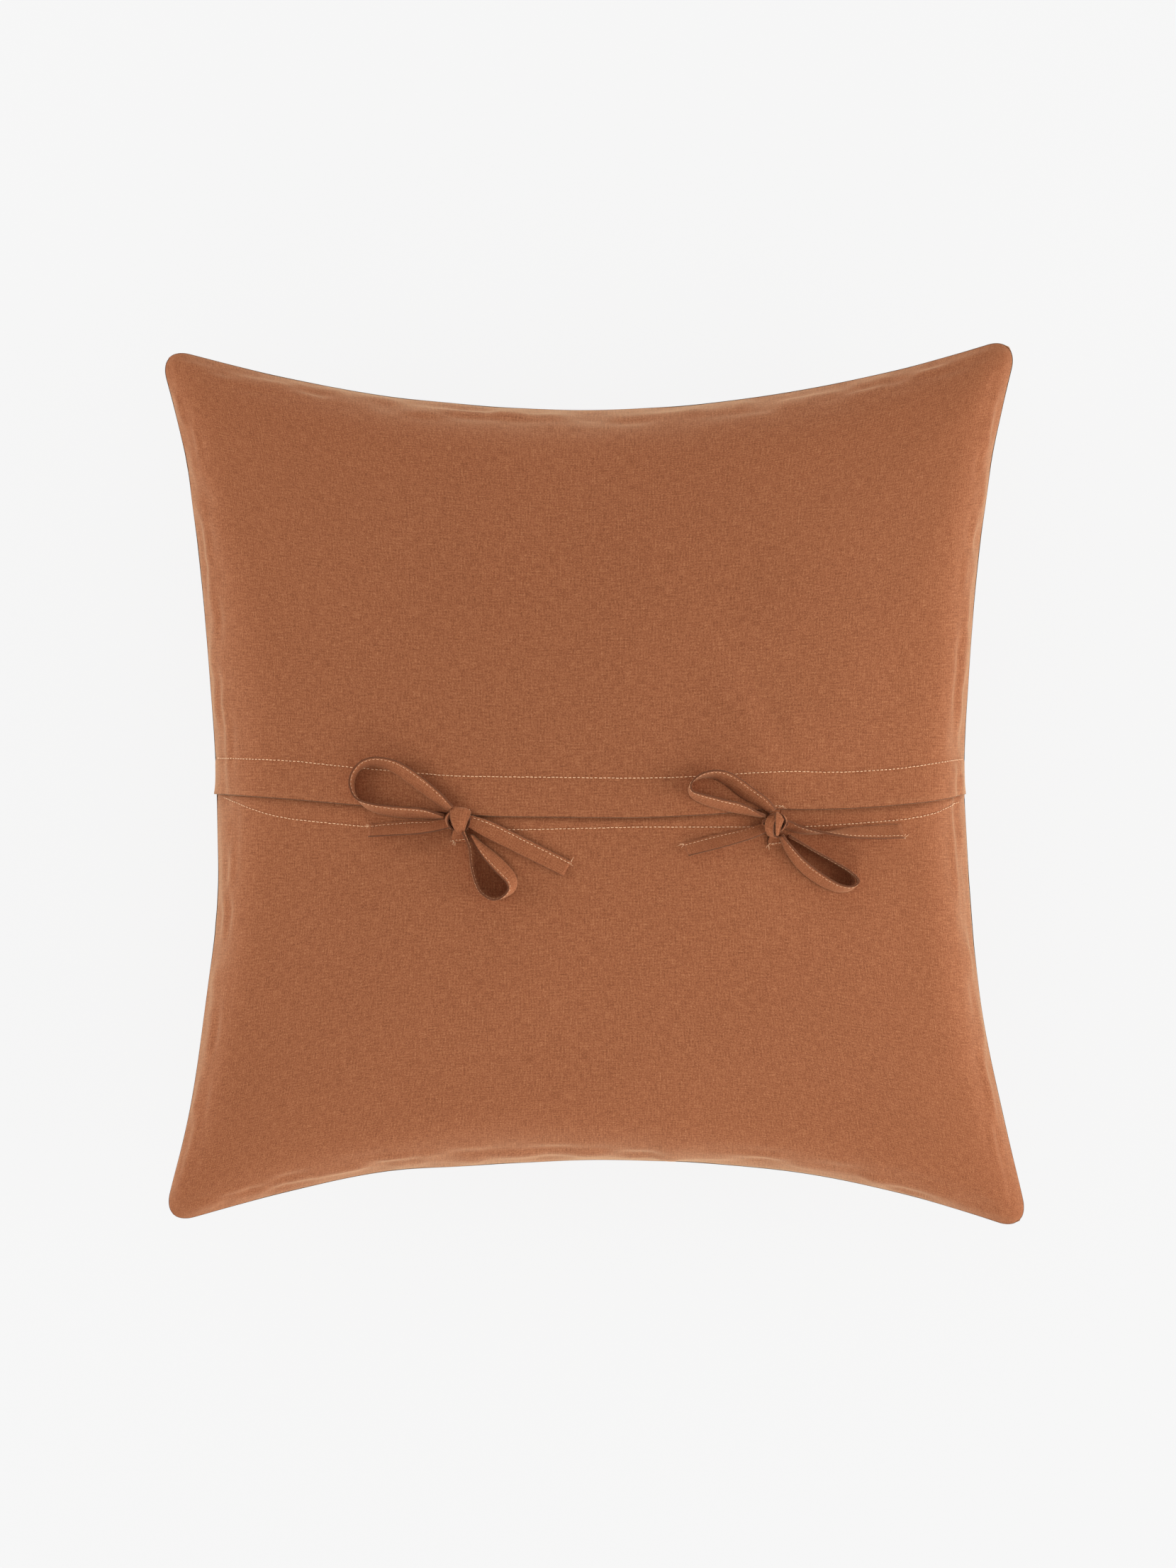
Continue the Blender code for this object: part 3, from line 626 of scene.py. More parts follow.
# height and up direction of what a tie rests on
def backHeight(x, y):
    x, y = np.array(x, float), np.array(y, float)
    U, V = backPlace(x, y)
    place, outward = coverSurface(U, V, 0)
    below = y < lineY("flapEdge", x)
    return place[..., 2] - np.where(below, flapDrop * lowerRecess(x, y), 0), outward


# columns from seam to seam, closer together near the seams
def gatheredColumns(count):
    g = np.linspace(-1, 1, count)
    return 0.72 * g + 0.28 * np.sin(np.pi * g / 2)


def addPiece(name, points, faces, material, uvs=None, wearAndShade=None, smooth=True):
    mesh = bpy.data.meshes.new(name)
    mesh.from_pydata(np.asarray(points).reshape(-1, 3).tolist(), [], [list(f) for f in faces])
    if smooth:
        mesh.shade_smooth()
    if uvs is not None:
        layer = mesh.uv_layers.new(name="cloth")
        corners = np.empty(len(mesh.loops), int)
        mesh.loops.foreach_get("vertex_index", corners)
        layer.data.foreach_set("uv", np.asarray(uvs).reshape(-1, 2)[corners].ravel())
    if wearAndShade is not None:
        attribute = mesh.attributes.new("wearAndShade", "FLOAT", "POINT")
        attribute.data.foreach_set("value", np.asarray(wearAndShade, np.float32).ravel())
    mesh.materials.append(material)
    piece = bpy.data.objects.new(name, mesh)
    bpy.context.scene.collection.objects.link(piece)
    return piece


def weld(piece):
    bm = bmesh.new()
    bm.from_mesh(piece.data)
    bmesh.ops.remove_doubles(bm, verts=bm.verts, dist=0.01 * mm)
    bm.to_mesh(piece.data)
    bm.free()


# a piece that stays on the cushion
def settle(piece, nodes):
    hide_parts(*nodes)
    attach(piece, "cushion")


# The cover's front, the side it lies on: one square from seam to seam.
frontPanel = {"columns": 151, "seamWear": 0.15, "wearReach": 3 * mm}


def makeFront():
    count = frontPanel["columns"]
    columns = gatheredColumns(count)
    U, V = np.meshgrid(columns, columns, indexing="ij")
    place, _ = coverSurface(U, V, 1)
    near = np.minimum(1 - np.abs(U), 1 - np.abs(V)) * half
    wearAndShade = frontPanel["seamWear"] * np.exp(-near / frontPanel["wearReach"])
    piece = addPiece("coverFront", place, gridFaces(count, count, flip=True), linen,
                     np.stack((U * half, V * half), -1), wearAndShade)
    settle(piece, ("cover_front_panel",))


makeFront()

# The back panels: rows from a hemmed edge to the seam, and the hem turned under.
backPanels = {
    "coverBackUpper": {"node": "cover_back_upper_panel", "isFlap": True, "stitching": "flapStitching",
                       "edgeShift": 0.0, "turnedRows": 11, "flatHeight": 0.38},
    "coverBackLower": {"node": "cover_back_lower_panel", "isFlap": False, "stitching": "lowerStitching",
                       "edgeShift": opening["underlap"], "turnedRows": 8, "flatHeight": 0.37},
}
hem = {
    "columns": 221, "hemRows": 12, "panelRows": 92,
    "layersLift": 0.45 * mm, "layersBlend": 1.0 * mm,         # the extra layers of the turned hem
    "stitchDip": 0.4 * mm, "stitchWidth": 1.3 * mm,           # the stitches pull the cloth down
    "puckerHeight": 0.22 * mm, "puckerPitch": 3.2 * mm, "puckerReach": 5 * mm,
    # the flap's edge stands off, most of all where it meets the side seams
    "edgeLift": 0.45 * mm, "edgeWave": 0.25 * mm, "edgeWavePitch": 30 * mm, "edgeReach": 7 * mm,
    "leftEndLift": 1.6 * mm, "leftEndReach": 14 * mm, "rightEndShare": 0.35, "rightEndReach": 10 * mm,
    "sewnIn": 9 * mm,                                         # where the lower panel rises into the side seams
    "seamWear": 0.12, "seamWearReach": 3 * mm,
    "edgeWear": 0.2, "edgeWearPlace": 1.5 * mm, "edgeWearWidth": 0.9 * mm,
    # painted shade: the turned-under part of the flap's hem is coloured dark, as the shadow beneath the flap's edge
    "underHemPaintedShade": -0.75,
}


# how far the panel stands off the plain cover, by its hem and the opening
def panelLift(panel, U, place, fromEdge, fromStitch):
    lift = hem["layersLift"] / (1 + np.exp(np.clip(fromStitch / hem["layersBlend"], -30, 30)))
    lift = lift - hem["stitchDip"] * np.exp(-(fromStitch / hem["stitchWidth"]) ** 2)
    pucker = patchNoise(U * half / hem["puckerPitch"], fromStitch / hem["puckerReach"], 33)
    lift = lift + hem["puckerHeight"] * pucker * np.exp(-(fromStitch / hem["puckerReach"]) ** 2)
    if panel["isFlap"]:
        leftEnd = np.exp(-((U + 1) * half / hem["leftEndReach"]) ** 2)
        rightEnd = hem["rightEndShare"] * np.exp(-((1 - U) * half / hem["rightEndReach"]) ** 2)
        wave = patchNoise(U * half / hem["edgeWavePitch"], U * 0, 37)
        standOff = hem["leftEndLift"] * (leftEnd + rightEnd) + hem["edgeWave"] * wave + hem["edgeLift"]
        return lift + standOff * np.exp(-np.maximum(fromEdge, 0) / hem["edgeReach"])
    x, y = place[..., 0], place[..., 1]
    atSeam = 1 - np.exp(-((1 - np.abs(U)) * half / hem["sewnIn"]) ** 2)
    underEdge = (lineY("flapEdge", x) - y + opening["flapGap"]) / opening["creviceWidth"]
    return lift - (flapDrop * lowerRecess(x, y) + opening["crevice"] * np.exp(-underEdge ** 2)) * atSeam


def makeBackPanel(name, panel):
    isFlap, turned = panel["isFlap"], panel["turnedRows"]
    sign = 1 if isFlap else -1
    columns = gatheredColumns(hem["columns"])
    edge = rowOn(columns, "flapEdge", panel["edgeShift"])
    stitch = rowOn(columns, panel["stitching"])
    rows = [edge + (stitch - edge) * t for t in np.linspace(0, 1, hem["hemRows"])]
    for t in np.linspace(0, 1, hem["panelRows"])[1:]:
        closer = 0.62 * t + 0.38 * (1 - (1 - t) ** 1.6)      # rows lie closer together towards the seam
        rows.append(stitch + (sign - stitch) * closer)
    V = np.array(rows).T
    U = np.broadcast_to(columns[:, None], V.shape)
    place, outward = coverSurface(U, V, 0)
    fromEdge = (V - edge[:, None]) * half * sign
    fromStitch = (V - stitch[:, None]) * half * sign
    grid = place + outward * panelLift(panel, U, place, fromEdge, fromStitch)[..., None]

    # round the fold and back beneath, as deep as the turned hem
    depth = opening["flapHem"] if isFlap else opening["lowerHem"]
    towardsSeam = grid[:, 1] - grid[:, 0]
    towardsSeam /= np.linalg.norm(towardsSeam, axis=-1, keepdims=True)
    under = [grid[:, k] - outward[:, k] * depth for k in range(turned, 0, -1)]
    for angle in (150, 120, 90, 60, 30):
        a = math.radians(angle)
        around = towardsSeam * math.sin(a) + outward[:, 0] * (1 - math.cos(a))
        under.append(grid[:, 0] - around * depth / 2)
    under = np.stack(under, 1)
    whole = np.concatenate((under, grid), 1)

    flatV = V * half
    flatTurn = flatV[:, :1] - sign * 0.3 * mm * np.arange(5, 0, -1)[None]
    flatUnder = 2 * flatV[:, :1] - flatV[:, turned:0:-1]
    flatWhole = np.concatenate((flatUnder, flatTurn, flatV), 1)
    uvs = np.stack(np.broadcast_arrays(columns[:, None] * half, flatWhole), -1)
    nearSeam = np.minimum(1 - np.abs(U), 1 - sign * V) * half
    wearAndShade = hem["seamWear"] * np.exp(-nearSeam / hem["seamWearReach"])
    wearAndShade = wearAndShade + hem["edgeWear"] * np.exp(-((fromEdge - hem["edgeWearPlace"]) / hem["edgeWearWidth"]) ** 2)
    # the flap's turned-under hem gets painted shade; the lower panel's does not
    wearAndShade = np.concatenate((np.full(under.shape[:2], hem["underHemPaintedShade"] if isFlap else 0.0), wearAndShade), 1)
    piece = addPiece(name, whole, gridFaces(*whole.shape[:2], flip=sign < 0), linen, uvs, wearAndShade)
    settle(piece, (panel["node"],))


for name, panel in backPanels.items():
    makeBackPanel(name, panel)
print("cover panels made")

# The inner cushion: a calico case, its overcast seam and the fibre pad in it.
inner = {
    "columns": 91, "inset": 8.0 * mm, "fibreInset": 9.6 * mm, "seamInset": 1.3, "cornerGap": 14 * mm,
    "lumpHeight": 0.3 * mm, "lumps": 14, "floorGap": 0.6 * mm, "fill": 0.85,
}


def innerForm(name, inset, material, nodes):
    count = inner["columns"]
    columns = gatheredColumns(count)
    U, V = np.meshgrid(columns, columns, indexing="ij")
    sides = []
    for side in (0, 1):
        corner = (np.abs(U * V)) ** 6 * inner["cornerGap"] / half
        shrink = 1 - inset / half * inner["seamInset"] - corner
        flatten = shrink * 0 + 1 - inset / cushion["crown"]
        place = onGrid(settledSides[side], U, V) * np.stack((shrink, shrink, flatten), -1)
        lumps = patchNoise(U * inner["lumps"], V * inner["lumps"], 71) * (1 - U ** 8) * (1 - V ** 8)
        place[..., 2] += seamHeight + inner["lumpHeight"] * lumps
        if side:
            place[..., 2] = pressedFlat(place[..., 2], inner["floorGap"] + inset * 0.2)
        sides.append(place)
    for rim in (np.s_[[0, -1], :], np.s_[:, [0, -1]]):
        sides[0][rim] = sides[1][rim] = (sides[0][rim] + sides[1][rim]) / 2
    faces = gridFaces(count, count) + gridFaces(count, count, start=count * count, flip=True)
    uv = np.stack((U * half, V * half), -1).reshape(-1, 2)
    piece = addPiece(name, np.array(sides), faces, material, np.concatenate((uv, uv)), np.zeros(2 * U.size))
    weld(piece)
    settle(piece, nodes)


innerForm("innerPad", inner["inset"], calico, ("inner_case_front", "inner_case_back"))
innerForm("fibrePad", inner["fibreInset"], fibre, ("filling",))
print("inner cushion made")


def unit(v):
    return v / np.maximum(np.linalg.norm(v, axis=-1, keepdims=True), 1e-12)


# distance from the start of a line of places to each of them
def runAlong(line):
    return np.concatenate(([0], np.cumsum(np.linalg.norm(np.diff(line, axis=0), axis=1))))


# rings of places round a line, and the faces between them
def tubePlaces(centre, side, up, radius, ring, broad=1.0):
    angle = np.linspace(0, 2 * np.pi, ring, endpoint=False)[None, :, None]
    spokes = side[:, None] * np.cos(angle) * broad + up[:, None] * np.sin(angle)
    return (centre[:, None] + radius[:, None, None] * spokes).reshape(-1, 3)


def tubeFaces(stops, ring, start=0, closed=True, flip=False):
    n = start + np.arange(stops * ring).reshape(stops, ring)
    m = np.roll(n, -1, 1)
    faces = np.stack((n[:-1], m[:-1], m[1:], n[1:]), -1).reshape(-1, 4).tolist()
    if closed:
        faces += [n[0, ::-1].tolist(), n[-1].tolist()]
    return [face[:1] + face[:0:-1] for face in faces] if flip else faces


# Stitches: short bars of thread that dip into the cloth at both ends.
hemStitch = {"length": 2.1 * mm, "pitch": 3.1 * mm, "thickness": 0.56 * mm, "rise": 0.36 * mm}
seamStitch = dict(hemStitch, length=2.6 * mm)
tieStitch = {"length": 2.0 * mm, "pitch": 3.0 * mm, "thickness": 0.46 * mm, "rise": 0.3 * mm}
tackStitch = dict(tieStitch, pitch=2.6 * mm, thickness=0.5 * mm)
stitchLuck = {"length": 0.12, "sideways": 0.12 * mm, "pitch": 0.05}      # how uneven the stitches are
stitchStart = 0.6 * mm


# route is a fine line of places on the cloth, ups its outward directions
def stitchRun(name, route, ups, material, stitch, seed):
    lengths = runAlong(route)
    luck = np.random.RandomState(seed)
    points, faces = [], []
    ring, stops = 6, 6
    t = np.linspace(0, 1, stops)
    arch = np.sin(np.pi * (0.06 + 0.88 * t))
    start = stitchStart
    while start + stitch["length"] < lengths[-1]:
        long = stitch["length"] * (1 + luck.uniform(-stitchLuck["length"], stitchLuck["length"]))
        sideways = luck.uniform(-stitchLuck["sideways"], stitchLuck["sideways"])
        at = start + long * t
        centre = np.stack([np.interp(at, lengths, route[:, k]) for k in range(3)], -1)
        up = unit(np.stack([np.interp(at, lengths, ups[:, k]) for k in range(3)], -1))
        side = np.cross(up, unit(centre[-1] - centre[0]))
        height = (arch - 0.55) * stitch["rise"] + stitch["thickness"] * 0.25
        middle = centre + up * height[:, None] + side * sideways
        radius = stitch["thickness"] / 2 * (0.55 + 0.45 * arch)
        faces += tubeFaces(stops, ring, start=len(points) * stops * ring)
        points.append(tubePlaces(middle, side, up, radius, ring, broad=1.15))
        start += stitch["pitch"] * (1 + luck.uniform(-stitchLuck["pitch"], stitchLuck["pitch"]))
    return addPiece(name, points, faces, material)


hemLine = {"end": 0.985, "places": 1400, "lift": 0.18 * mm, "shownFrom": 0.5 * mm}


def hemStitching(name, node, line, onFlap):
    U = np.linspace(-hemLine["end"], hemLine["end"], hemLine["places"])
    place, outward = coverSurface(U, rowOn(U, line), 0)
    drop = 0 if onFlap else flapDrop * lowerRecess(place[:, 0], place[:, 1])
    place = place + outward * np.reshape(hemLine["lift"] - drop, (-1, 1))
    if not onFlap:
        shown = place[:, 1] < lineY("flapEdge", place[:, 0]) - hemLine["shownFrom"]
        place, outward = place[shown], outward[shown]
    settle(stitchRun(name, place, outward, peachThread, hemStitch, 3), (node,))


hemStitching("flapStitching", "flap_hem_stitching", "flapStitching", True)
hemStitching("lowerStitching", "lower_hem_stitching", "lowerStitching", False)

coverSeam = {"inset": 4.0 * mm, "drop": 0.2 * mm}
innerSeam = {"inset": inner["inset"] * inner["seamInset"] + 4 * mm, "drop": 0.0}


def seamThread(name, node, material, seam, seed):
    rim = np.linspace(-1, 1, 500)
    one = np.ones_like(rim)
    U = np.concatenate((rim, one, -rim, -one))
    V = np.concatenate((-one, rim, one, -rim))
    place = onGrid(settledSides[0], U, V) * (1 - seam["inset"] / half)
    place[:, 2] = seamHeight - seam["drop"]
    outward = unit(np.stack((U, V, U * 0), -1))
    settle(stitchRun(name, place, outward, material, seamStitch, seed), (node,))


seamThread("coverSeamThread", "cover_seam_thread", peachThread, coverSeam, 4)
seamThread("innerSeamThread", "inner_case_seam_thread", creamThread, innerSeam, 5)
print("seams and hems stitched")

# The bows.
tie = {
    "width": 12.5 * mm, "thickness": 1.3 * mm,
    "clear": 0.6 * mm,          # between a tie and the cloth that it rests on
    "rock": 1.5,                # degrees, how unevenly it lies
    "upright": 0.6,             # how much of the cloth's slope a tie follows
    "stepsBetween": 7,
    "edgeWave": 0.006, "edgeWavePitch": 5 * mm,
    "pleatHeight": 1.1 * mm, "pleats": 7.5,      # where it is gathered into the knot
    "bowedHeight": 0.15 * mm, "bowedPitch": 14 * mm,
    "rumpleHeight": 0.07 * mm, "rumplePitch": 3.5 * mm,
    # painted shade along both edges of a tape: the thin shadow line at its folded and turned-in edges
    "paintedEdgeShade": -0.75, "paintedEdgeShadeWidth": 0.05,
    "stitchPlace": 0.68, "stitchDepth": 0.62,    # shares of half its width and half its thickness
    "bendStart": -1 * mm, "bendEnd": 20 * mm,    # the stretch that bends when it is lifted, from its root
}

# Each tie from its knot: x, y and lift in millimetres, tilt in degrees (0 lies flat, 90 stands
# on edge) and share of the full width. Loops run out and back with their inside on the left.
leftBow = {
    "knot": (-99.0, -27.5),
    "upper_loop": (
        (-5.2, 8.6, 1.5, 125, 0.6), (-14, 16, 0.5, 138, 0.9), (-28, 27, 0, 142, 1), (-44, 38, 0, 138, 1),
        (-58, 42.5, 0, 122, 1), (-68.5, 41, 0, 108, 1), (-75.5, 34, 0, 100, 1), (-77, 24.5, 0, 96, 1),
        (-73, 15.5, 0, 84, 1), (-62, 9.5, 0, 64, 1), (-46, 6.5, 0, 52, 1), (-26, 5.2, 0, 52, 0.95),
        (-10.6, 3.2, 1, 70, 0.6)),
    "lower_loop": (
        (3.9, -7.9, 1.6, 90, 0.7), (8.2, -19, 0.6, 86, 0.95), (9.6, -34, 0, 84, 1), (13.4, -47, 0, 84, 1),
        (18.5, -53.5, 0, 86, 1), (25.5, -56.5, 0, 88, 1), (33, -54.5, 0, 82, 1), (38.5, -49, 0, 66, 1),
        (37.5, -41.5, 0, 52, 1), (30, -33, 0, 46, 1), (22, -25, 0, 46, 0.9), (14.5, -17.5, 0, 58, 0.7),
        (8.6, -10.6, 0, 75, 0.5)),
    "left_tail": (
        (-8.2, -2.4, 0.9, 30, 0.6), (-21, -4.4, 0, 42, 0.85), (-35, -5.2, 0, 42, 1), (-50, -6.2, 0, 45, 1),
        (-65, -7.4, 0, 48, 1)),
    "right_tail": (
        (9.2, -0.6, 3, 0, 0.75), (22, -6.5, 2.6, 0, 1), (40, -15.5, 1.6, 0, 1), (60, -25.5, 0.6, 0, 1),
        (78.5, -34.8, 0, 0, 1)),
}
rightBow = {
    "knot": (130.0, -30.0),
    "upper_loop": (
        (-2.6, 9.8, 1.2, 125, 0.6), (-9.5, 16, 0.5, 136, 0.85), (-21.5, 23.5, 0, 142, 1),
        (-33, 32, 0, 136, 1), (-43, 36, 0, 118, 1), (-52.5, 35.3, 0, 104, 1), (-60, 31, 0, 94, 1),
        (-62, 25, 0, 84, 1), (-57, 20, 0, 66, 1), (-42, 15, 0, 54, 1), (-25, 11, 0, 52, 0.9),
        (-9, 5.8, 0.5, 75, 0.6)),
    "lower_loop": (
        (4, -8, 1.2, 78, 0.6), (10.5, -19, 0.3, 62, 0.85), (19, -29.5, 0, 55, 1), (31, -39, 0, 52, 1),
        (44.5, -46, 0, 60, 1), (55, -46.5, 0, 75, 1), (60, -41, 0, 88, 1), (53.5, -34, 0, 90, 1),
        (41.5, -26.8, 0, 90, 1), (29.5, -20.2, 0, 90, 1), (19, -14, 0, 90, 0.9),
        (9.4, -8.4, 0.3, 88, 0.65)),
    "left_tail": (
        (-8.2, -3.2, 0.3, 30, 0.6), (-21, -7.4, 0, 40, 0.85), (-41.5, -12.5, 0, 42, 1),
        (-64.5, -18.4, 0, 45, 1)),
    "right_tail": (
        (8.8, -0.4, 0.8, 40, 0.65), (20, -4.4, 0, 62, 0.85), (36, -6.2, 0, 88, 0.9), (54, -6.2, 0, 122, 1),
        (73, -5.8, 0, 138, 1), (92.5, -5.2, 0, 142, 1)),
}
# The stretch of each tail that is hidden in its knot, outwards to its root: x towards the far
# side of the knot, y, and height over the cloth, in millimetres; it starts this narrow.
hiddenInKnot = ((3.5, -4.5, 2.5), (8.0, 0.5, 4.0), (3.0, 2.5, 6.5), (-2.0, 0.5, 6.0))
hiddenWidth = 4 * mm


def finePlaces(points, steps):
    points = np.array(points, float)
    t = np.linspace(0, 1, steps * (len(points) - 1) + 1)
    return np.stack([throughPoints(points[:, k], t) for k in range(points.shape[1])], -1)


def eased(values, reach=7):
    weights = np.hanning(2 * reach + 3)[1:-1]
    padded = np.pad(values, reach, mode="reflect", reflect_type="odd")
    return np.convolve(padded, weights / weights.sum(), mode="valid")


# a tape is too stiff to follow every dip: it rests on the high places and spans between them
def spanned(z, reach=5):
    level = eased(z, 12)
    padded = np.pad(z - level, reach, mode="edge")
    high = np.max([padded[k:k + len(z)] for k in range(2 * reach + 1)], axis=0)
    return level + eased(high, 6)


# directions across a tape, made square to the way it runs
def squareTo(along, v):
    return unit(v - along * (v * along).sum(-1, keepdims=True))


# centres, edge-to-edge directions, face directions and widths along a tie
def tieFrames(knot, points, seed):
    fine = finePlaces(points, tie["stepsBetween"])
    x, y = knot[0] * mm + fine[:, 0] * mm, knot[1] * mm + fine[:, 1] * mm
    width = tie["width"] * fine[:, 4]
    z, up = backHeight(x, y)
    up = unit(np.stack([eased(up[:, k]) for k in range(3)], -1) * [tie["upright"], tie["upright"], 1])
    run = np.arange(len(x)) * 0.2
    turn = np.radians(fine[:, 3] + tie["rock"] * patchNoise(run, run * 0 + 1, seed))
    stand = np.abs(np.sin(turn)) * width / 2 + np.abs(np.cos(turn)) * tie["thickness"] / 2
    centre = np.stack((x, y, spanned(z)), -1) + up * (stand + tie["clear"] + fine[:, 2] * mm)[:, None]
    along = unit(np.gradient(centre, axis=0))
    left = unit(np.cross(up, along))
    broad = left * np.cos(turn)[:, None] + np.cross(along, left) * np.sin(turn)[:, None]
    return centre, broad, np.cross(along, broad), width


# A tape's cross-section: across and through, as shares of half its width and thickness.
# One edge is a fold; the other is two turned-in edges, sewn together a little way in.
tapeSection = np.array((
    (-1.0, 0.0), (-0.985, 0.75), (-0.9, 1.05), (-0.5, 0.95), (0.0, 0.9), (0.45, 0.95), (0.6, 0.95),
    (0.68, 0.55), (0.76, 0.95), (0.9, 1.15), (0.975, 0.95), (1.0, 0.5), (0.955, 0.0), (1.0, -0.5),
    (0.975, -0.95), (0.9, -1.15), (0.76, -0.95), (0.68, -0.55), (0.6, -0.95), (0.45, -0.95),
    (0.0, -0.9), (-0.5, -0.95), (-0.9, -1.05), (-0.985, -0.75),
))


# the cloth of a tape, laid flat: its two faces lie side by side
def tapeUvs(across, run):
    return np.stack((across + np.sign(tapeSection[:, 1]) * 20 * mm, np.broadcast_to(run, across.shape)), -1)


def tapePiece(name, centre, broad, face, width, stitchedSide, seed):
    s = tapeSection[:, 0] * stitchedSide
    run = runAlong(centre)[:, None]
    gather = np.clip(1 - width / tie["width"], 0, 1)[:, None]
    still = np.zeros((len(centre), len(s)))
    wave = patchNoise(run / tie["edgeWavePitch"] + still, np.sign(tapeSection[:, 0]) * 3.0 + still, seed)
    across = s * width[:, None] / 2 * (1 + tie["edgeWave"] * wave)
    through = tapeSection[:, 1] * tie["thickness"] * (1 + 1.1 * gather) / 2
    pleat = tie["pleatHeight"] * np.sin(s * tie["pleats"] + 0.6) * gather
    bowed = (1 - s ** 2) * tie["bowedHeight"] * patchNoise(run / tie["bowedPitch"] + still, still + 5.0, seed + 3)
    rumple = tie["rumpleHeight"] * patchNoise(run / tie["rumplePitch"] + s * 1.5, s * 2.2 + still, seed + 7)
    height = through + pleat + bowed + rumple
    points = centre[:, None] + broad[:, None] * across[..., None] + face[:, None] * height[..., None]
    # painted shade: the tape's colour is darkened along both edges, where a shadow line falls
    paintedEdgeMask = np.exp(-((1 - np.abs(s)) / tie["paintedEdgeShadeWidth"]) ** 2)
    return addPiece(name, points, tubeFaces(len(centre), len(s), flip=stitchedSide > 0), tapeLinen,
                    tapeUvs(across, run), tie["paintedEdgeShade"] * paintedEdgeMask + still)


# A few frayed threads that curl out of a cut or sewn end.
fray = {"thickness": 0.34 * mm, "spread": 0.7, "curl": 0.55, "lift": 0.5 * mm}


# outward is the way the threads point, sideways how far their starts lie apart
def looseEnds(name, place, outward, sideways, seed, count, reach):
    luck = np.random.RandomState(seed)
    points, faces = [], []
    ring, stops = 5, 8
    t = np.linspace(0, 1, stops)[:, None]
    radius = fray["thickness"] / 2 * (1 - 0.5 * np.arange(stops) / stops)
    for n in range(count):
        way = unit(outward + luck.uniform(-fray["spread"], fray["spread"], 3) * np.array([1, 1, 0.3]))
        curl = luck.uniform(-1, 1, 3) * np.array([1, 1, 0.4])
        start = place + luck.uniform(-1, 1) * sideways
        long = reach * luck.uniform(0.5, 1.1)
        line = start + way * long * t + curl * long * fray["curl"] * t ** 2
        line[:, 2] += fray["lift"] * np.sin(np.pi * t[:, 0])
        along = unit(np.gradient(line, axis=0))
        side = unit(np.cross(along, [0.1, 0.2, 1]))
        points.append(tubePlaces(line, side, np.cross(side, along), radius, ring))
        faces += tubeFaces(stops, ring, start=n * stops * ring, closed=False)
    return addPiece(name, points, faces, peachThread)


# the places of a tail inside its knot, from the far side of it to the tail's root
def hiddenStretch(knot, root, tip):
    base, _ = backHeight(np.array([knot[0] * mm]), np.array([knot[1] * mm]))
    away = 1 if tip[0] < root[0] else -1
    hidden = np.array([(knot[0] + away * a, knot[1] + b, c) for a, b, c in hiddenInKnot]) * mm
    hidden[:, 2] += base[0]
    return finePlaces(np.concatenate((hidden, root[None])), 4)[:-1]


def tieStitching(name, centre, broad, face, width, stitchedSide, seed):
    sewn = np.clip(1 - width / tie["width"], 0, 1) < 0.3
    inset = broad * (width * 0.5 * tie["stitchPlace"])[:, None] * stitchedSide
    lines = []
    for n, way in enumerate((1, -1)):
        surface = centre + inset + face * way * (tie["thickness"] / 2 * tie["stitchDepth"])
        lines.append(stitchRun(name + "Stitching" + "AB"[n], surface[sewn], (face * way)[sewn], peachThread,
                               tieStitch, seed + n))
    return lines


def makeTie(side, kind, bow, seed):
    body = side + "_" + kind
    name = side + kind.title().replace("_", "")
    isLoop = kind.endswith("loop")
    stitchedSide = -1 if kind == "left_tail" else 1
    centre, broad, face, width = tieFrames(bow["knot"], bow[kind], seed)
    mouth = (centre[0] + centre[-1]) / 2 if isLoop else centre[0].copy()
    companions = []
    if isLoop:
        piece = tapePiece(name, centre, broad, face, width, stitchedSide, seed)
        companions += tieStitching(name, centre, broad, face, width, stitchedSide, seed)
    else:
        line = hiddenStretch(bow["knot"], centre[0], centre[-1])
        fade = np.linspace(0, 1, len(line))[:, None]
        broad = np.concatenate((unit(broad[0] * fade + np.array([0, 0.3, 1]) * (1 - fade)), broad))
        width = np.concatenate((np.linspace(hiddenWidth, width[0], len(line)), width))
        centre = np.concatenate((line, centre))
        along = unit(np.gradient(centre, axis=0))
        broad = squareTo(along, broad)
        face = np.cross(along, broad)
        piece = tapePiece(name, centre, broad, face, width, stitchedSide, seed)
        shown = slice(len(line), None)
        companions += tieStitching(name, centre[shown], broad[shown], face[shown], width[shown],
                                   stitchedSide, seed)
        corner = centre[-1] + broad[-1] * width[-1] * 0.42 * stitchedSide
        outward = unit(centre[-1] - centre[-3]) * 0.6 + broad[-1] * stitchedSide * 0.4
        companions.append(looseEnds(name + "Fray", corner, outward, broad[-1] * 1.0 * mm, seed, 4, 3.2 * mm))

    outward = unit(centre[len(centre) // 2 if isLoop else -1] - mouth)
    for part in (piece, *companions):
        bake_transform(part)
    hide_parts(body)


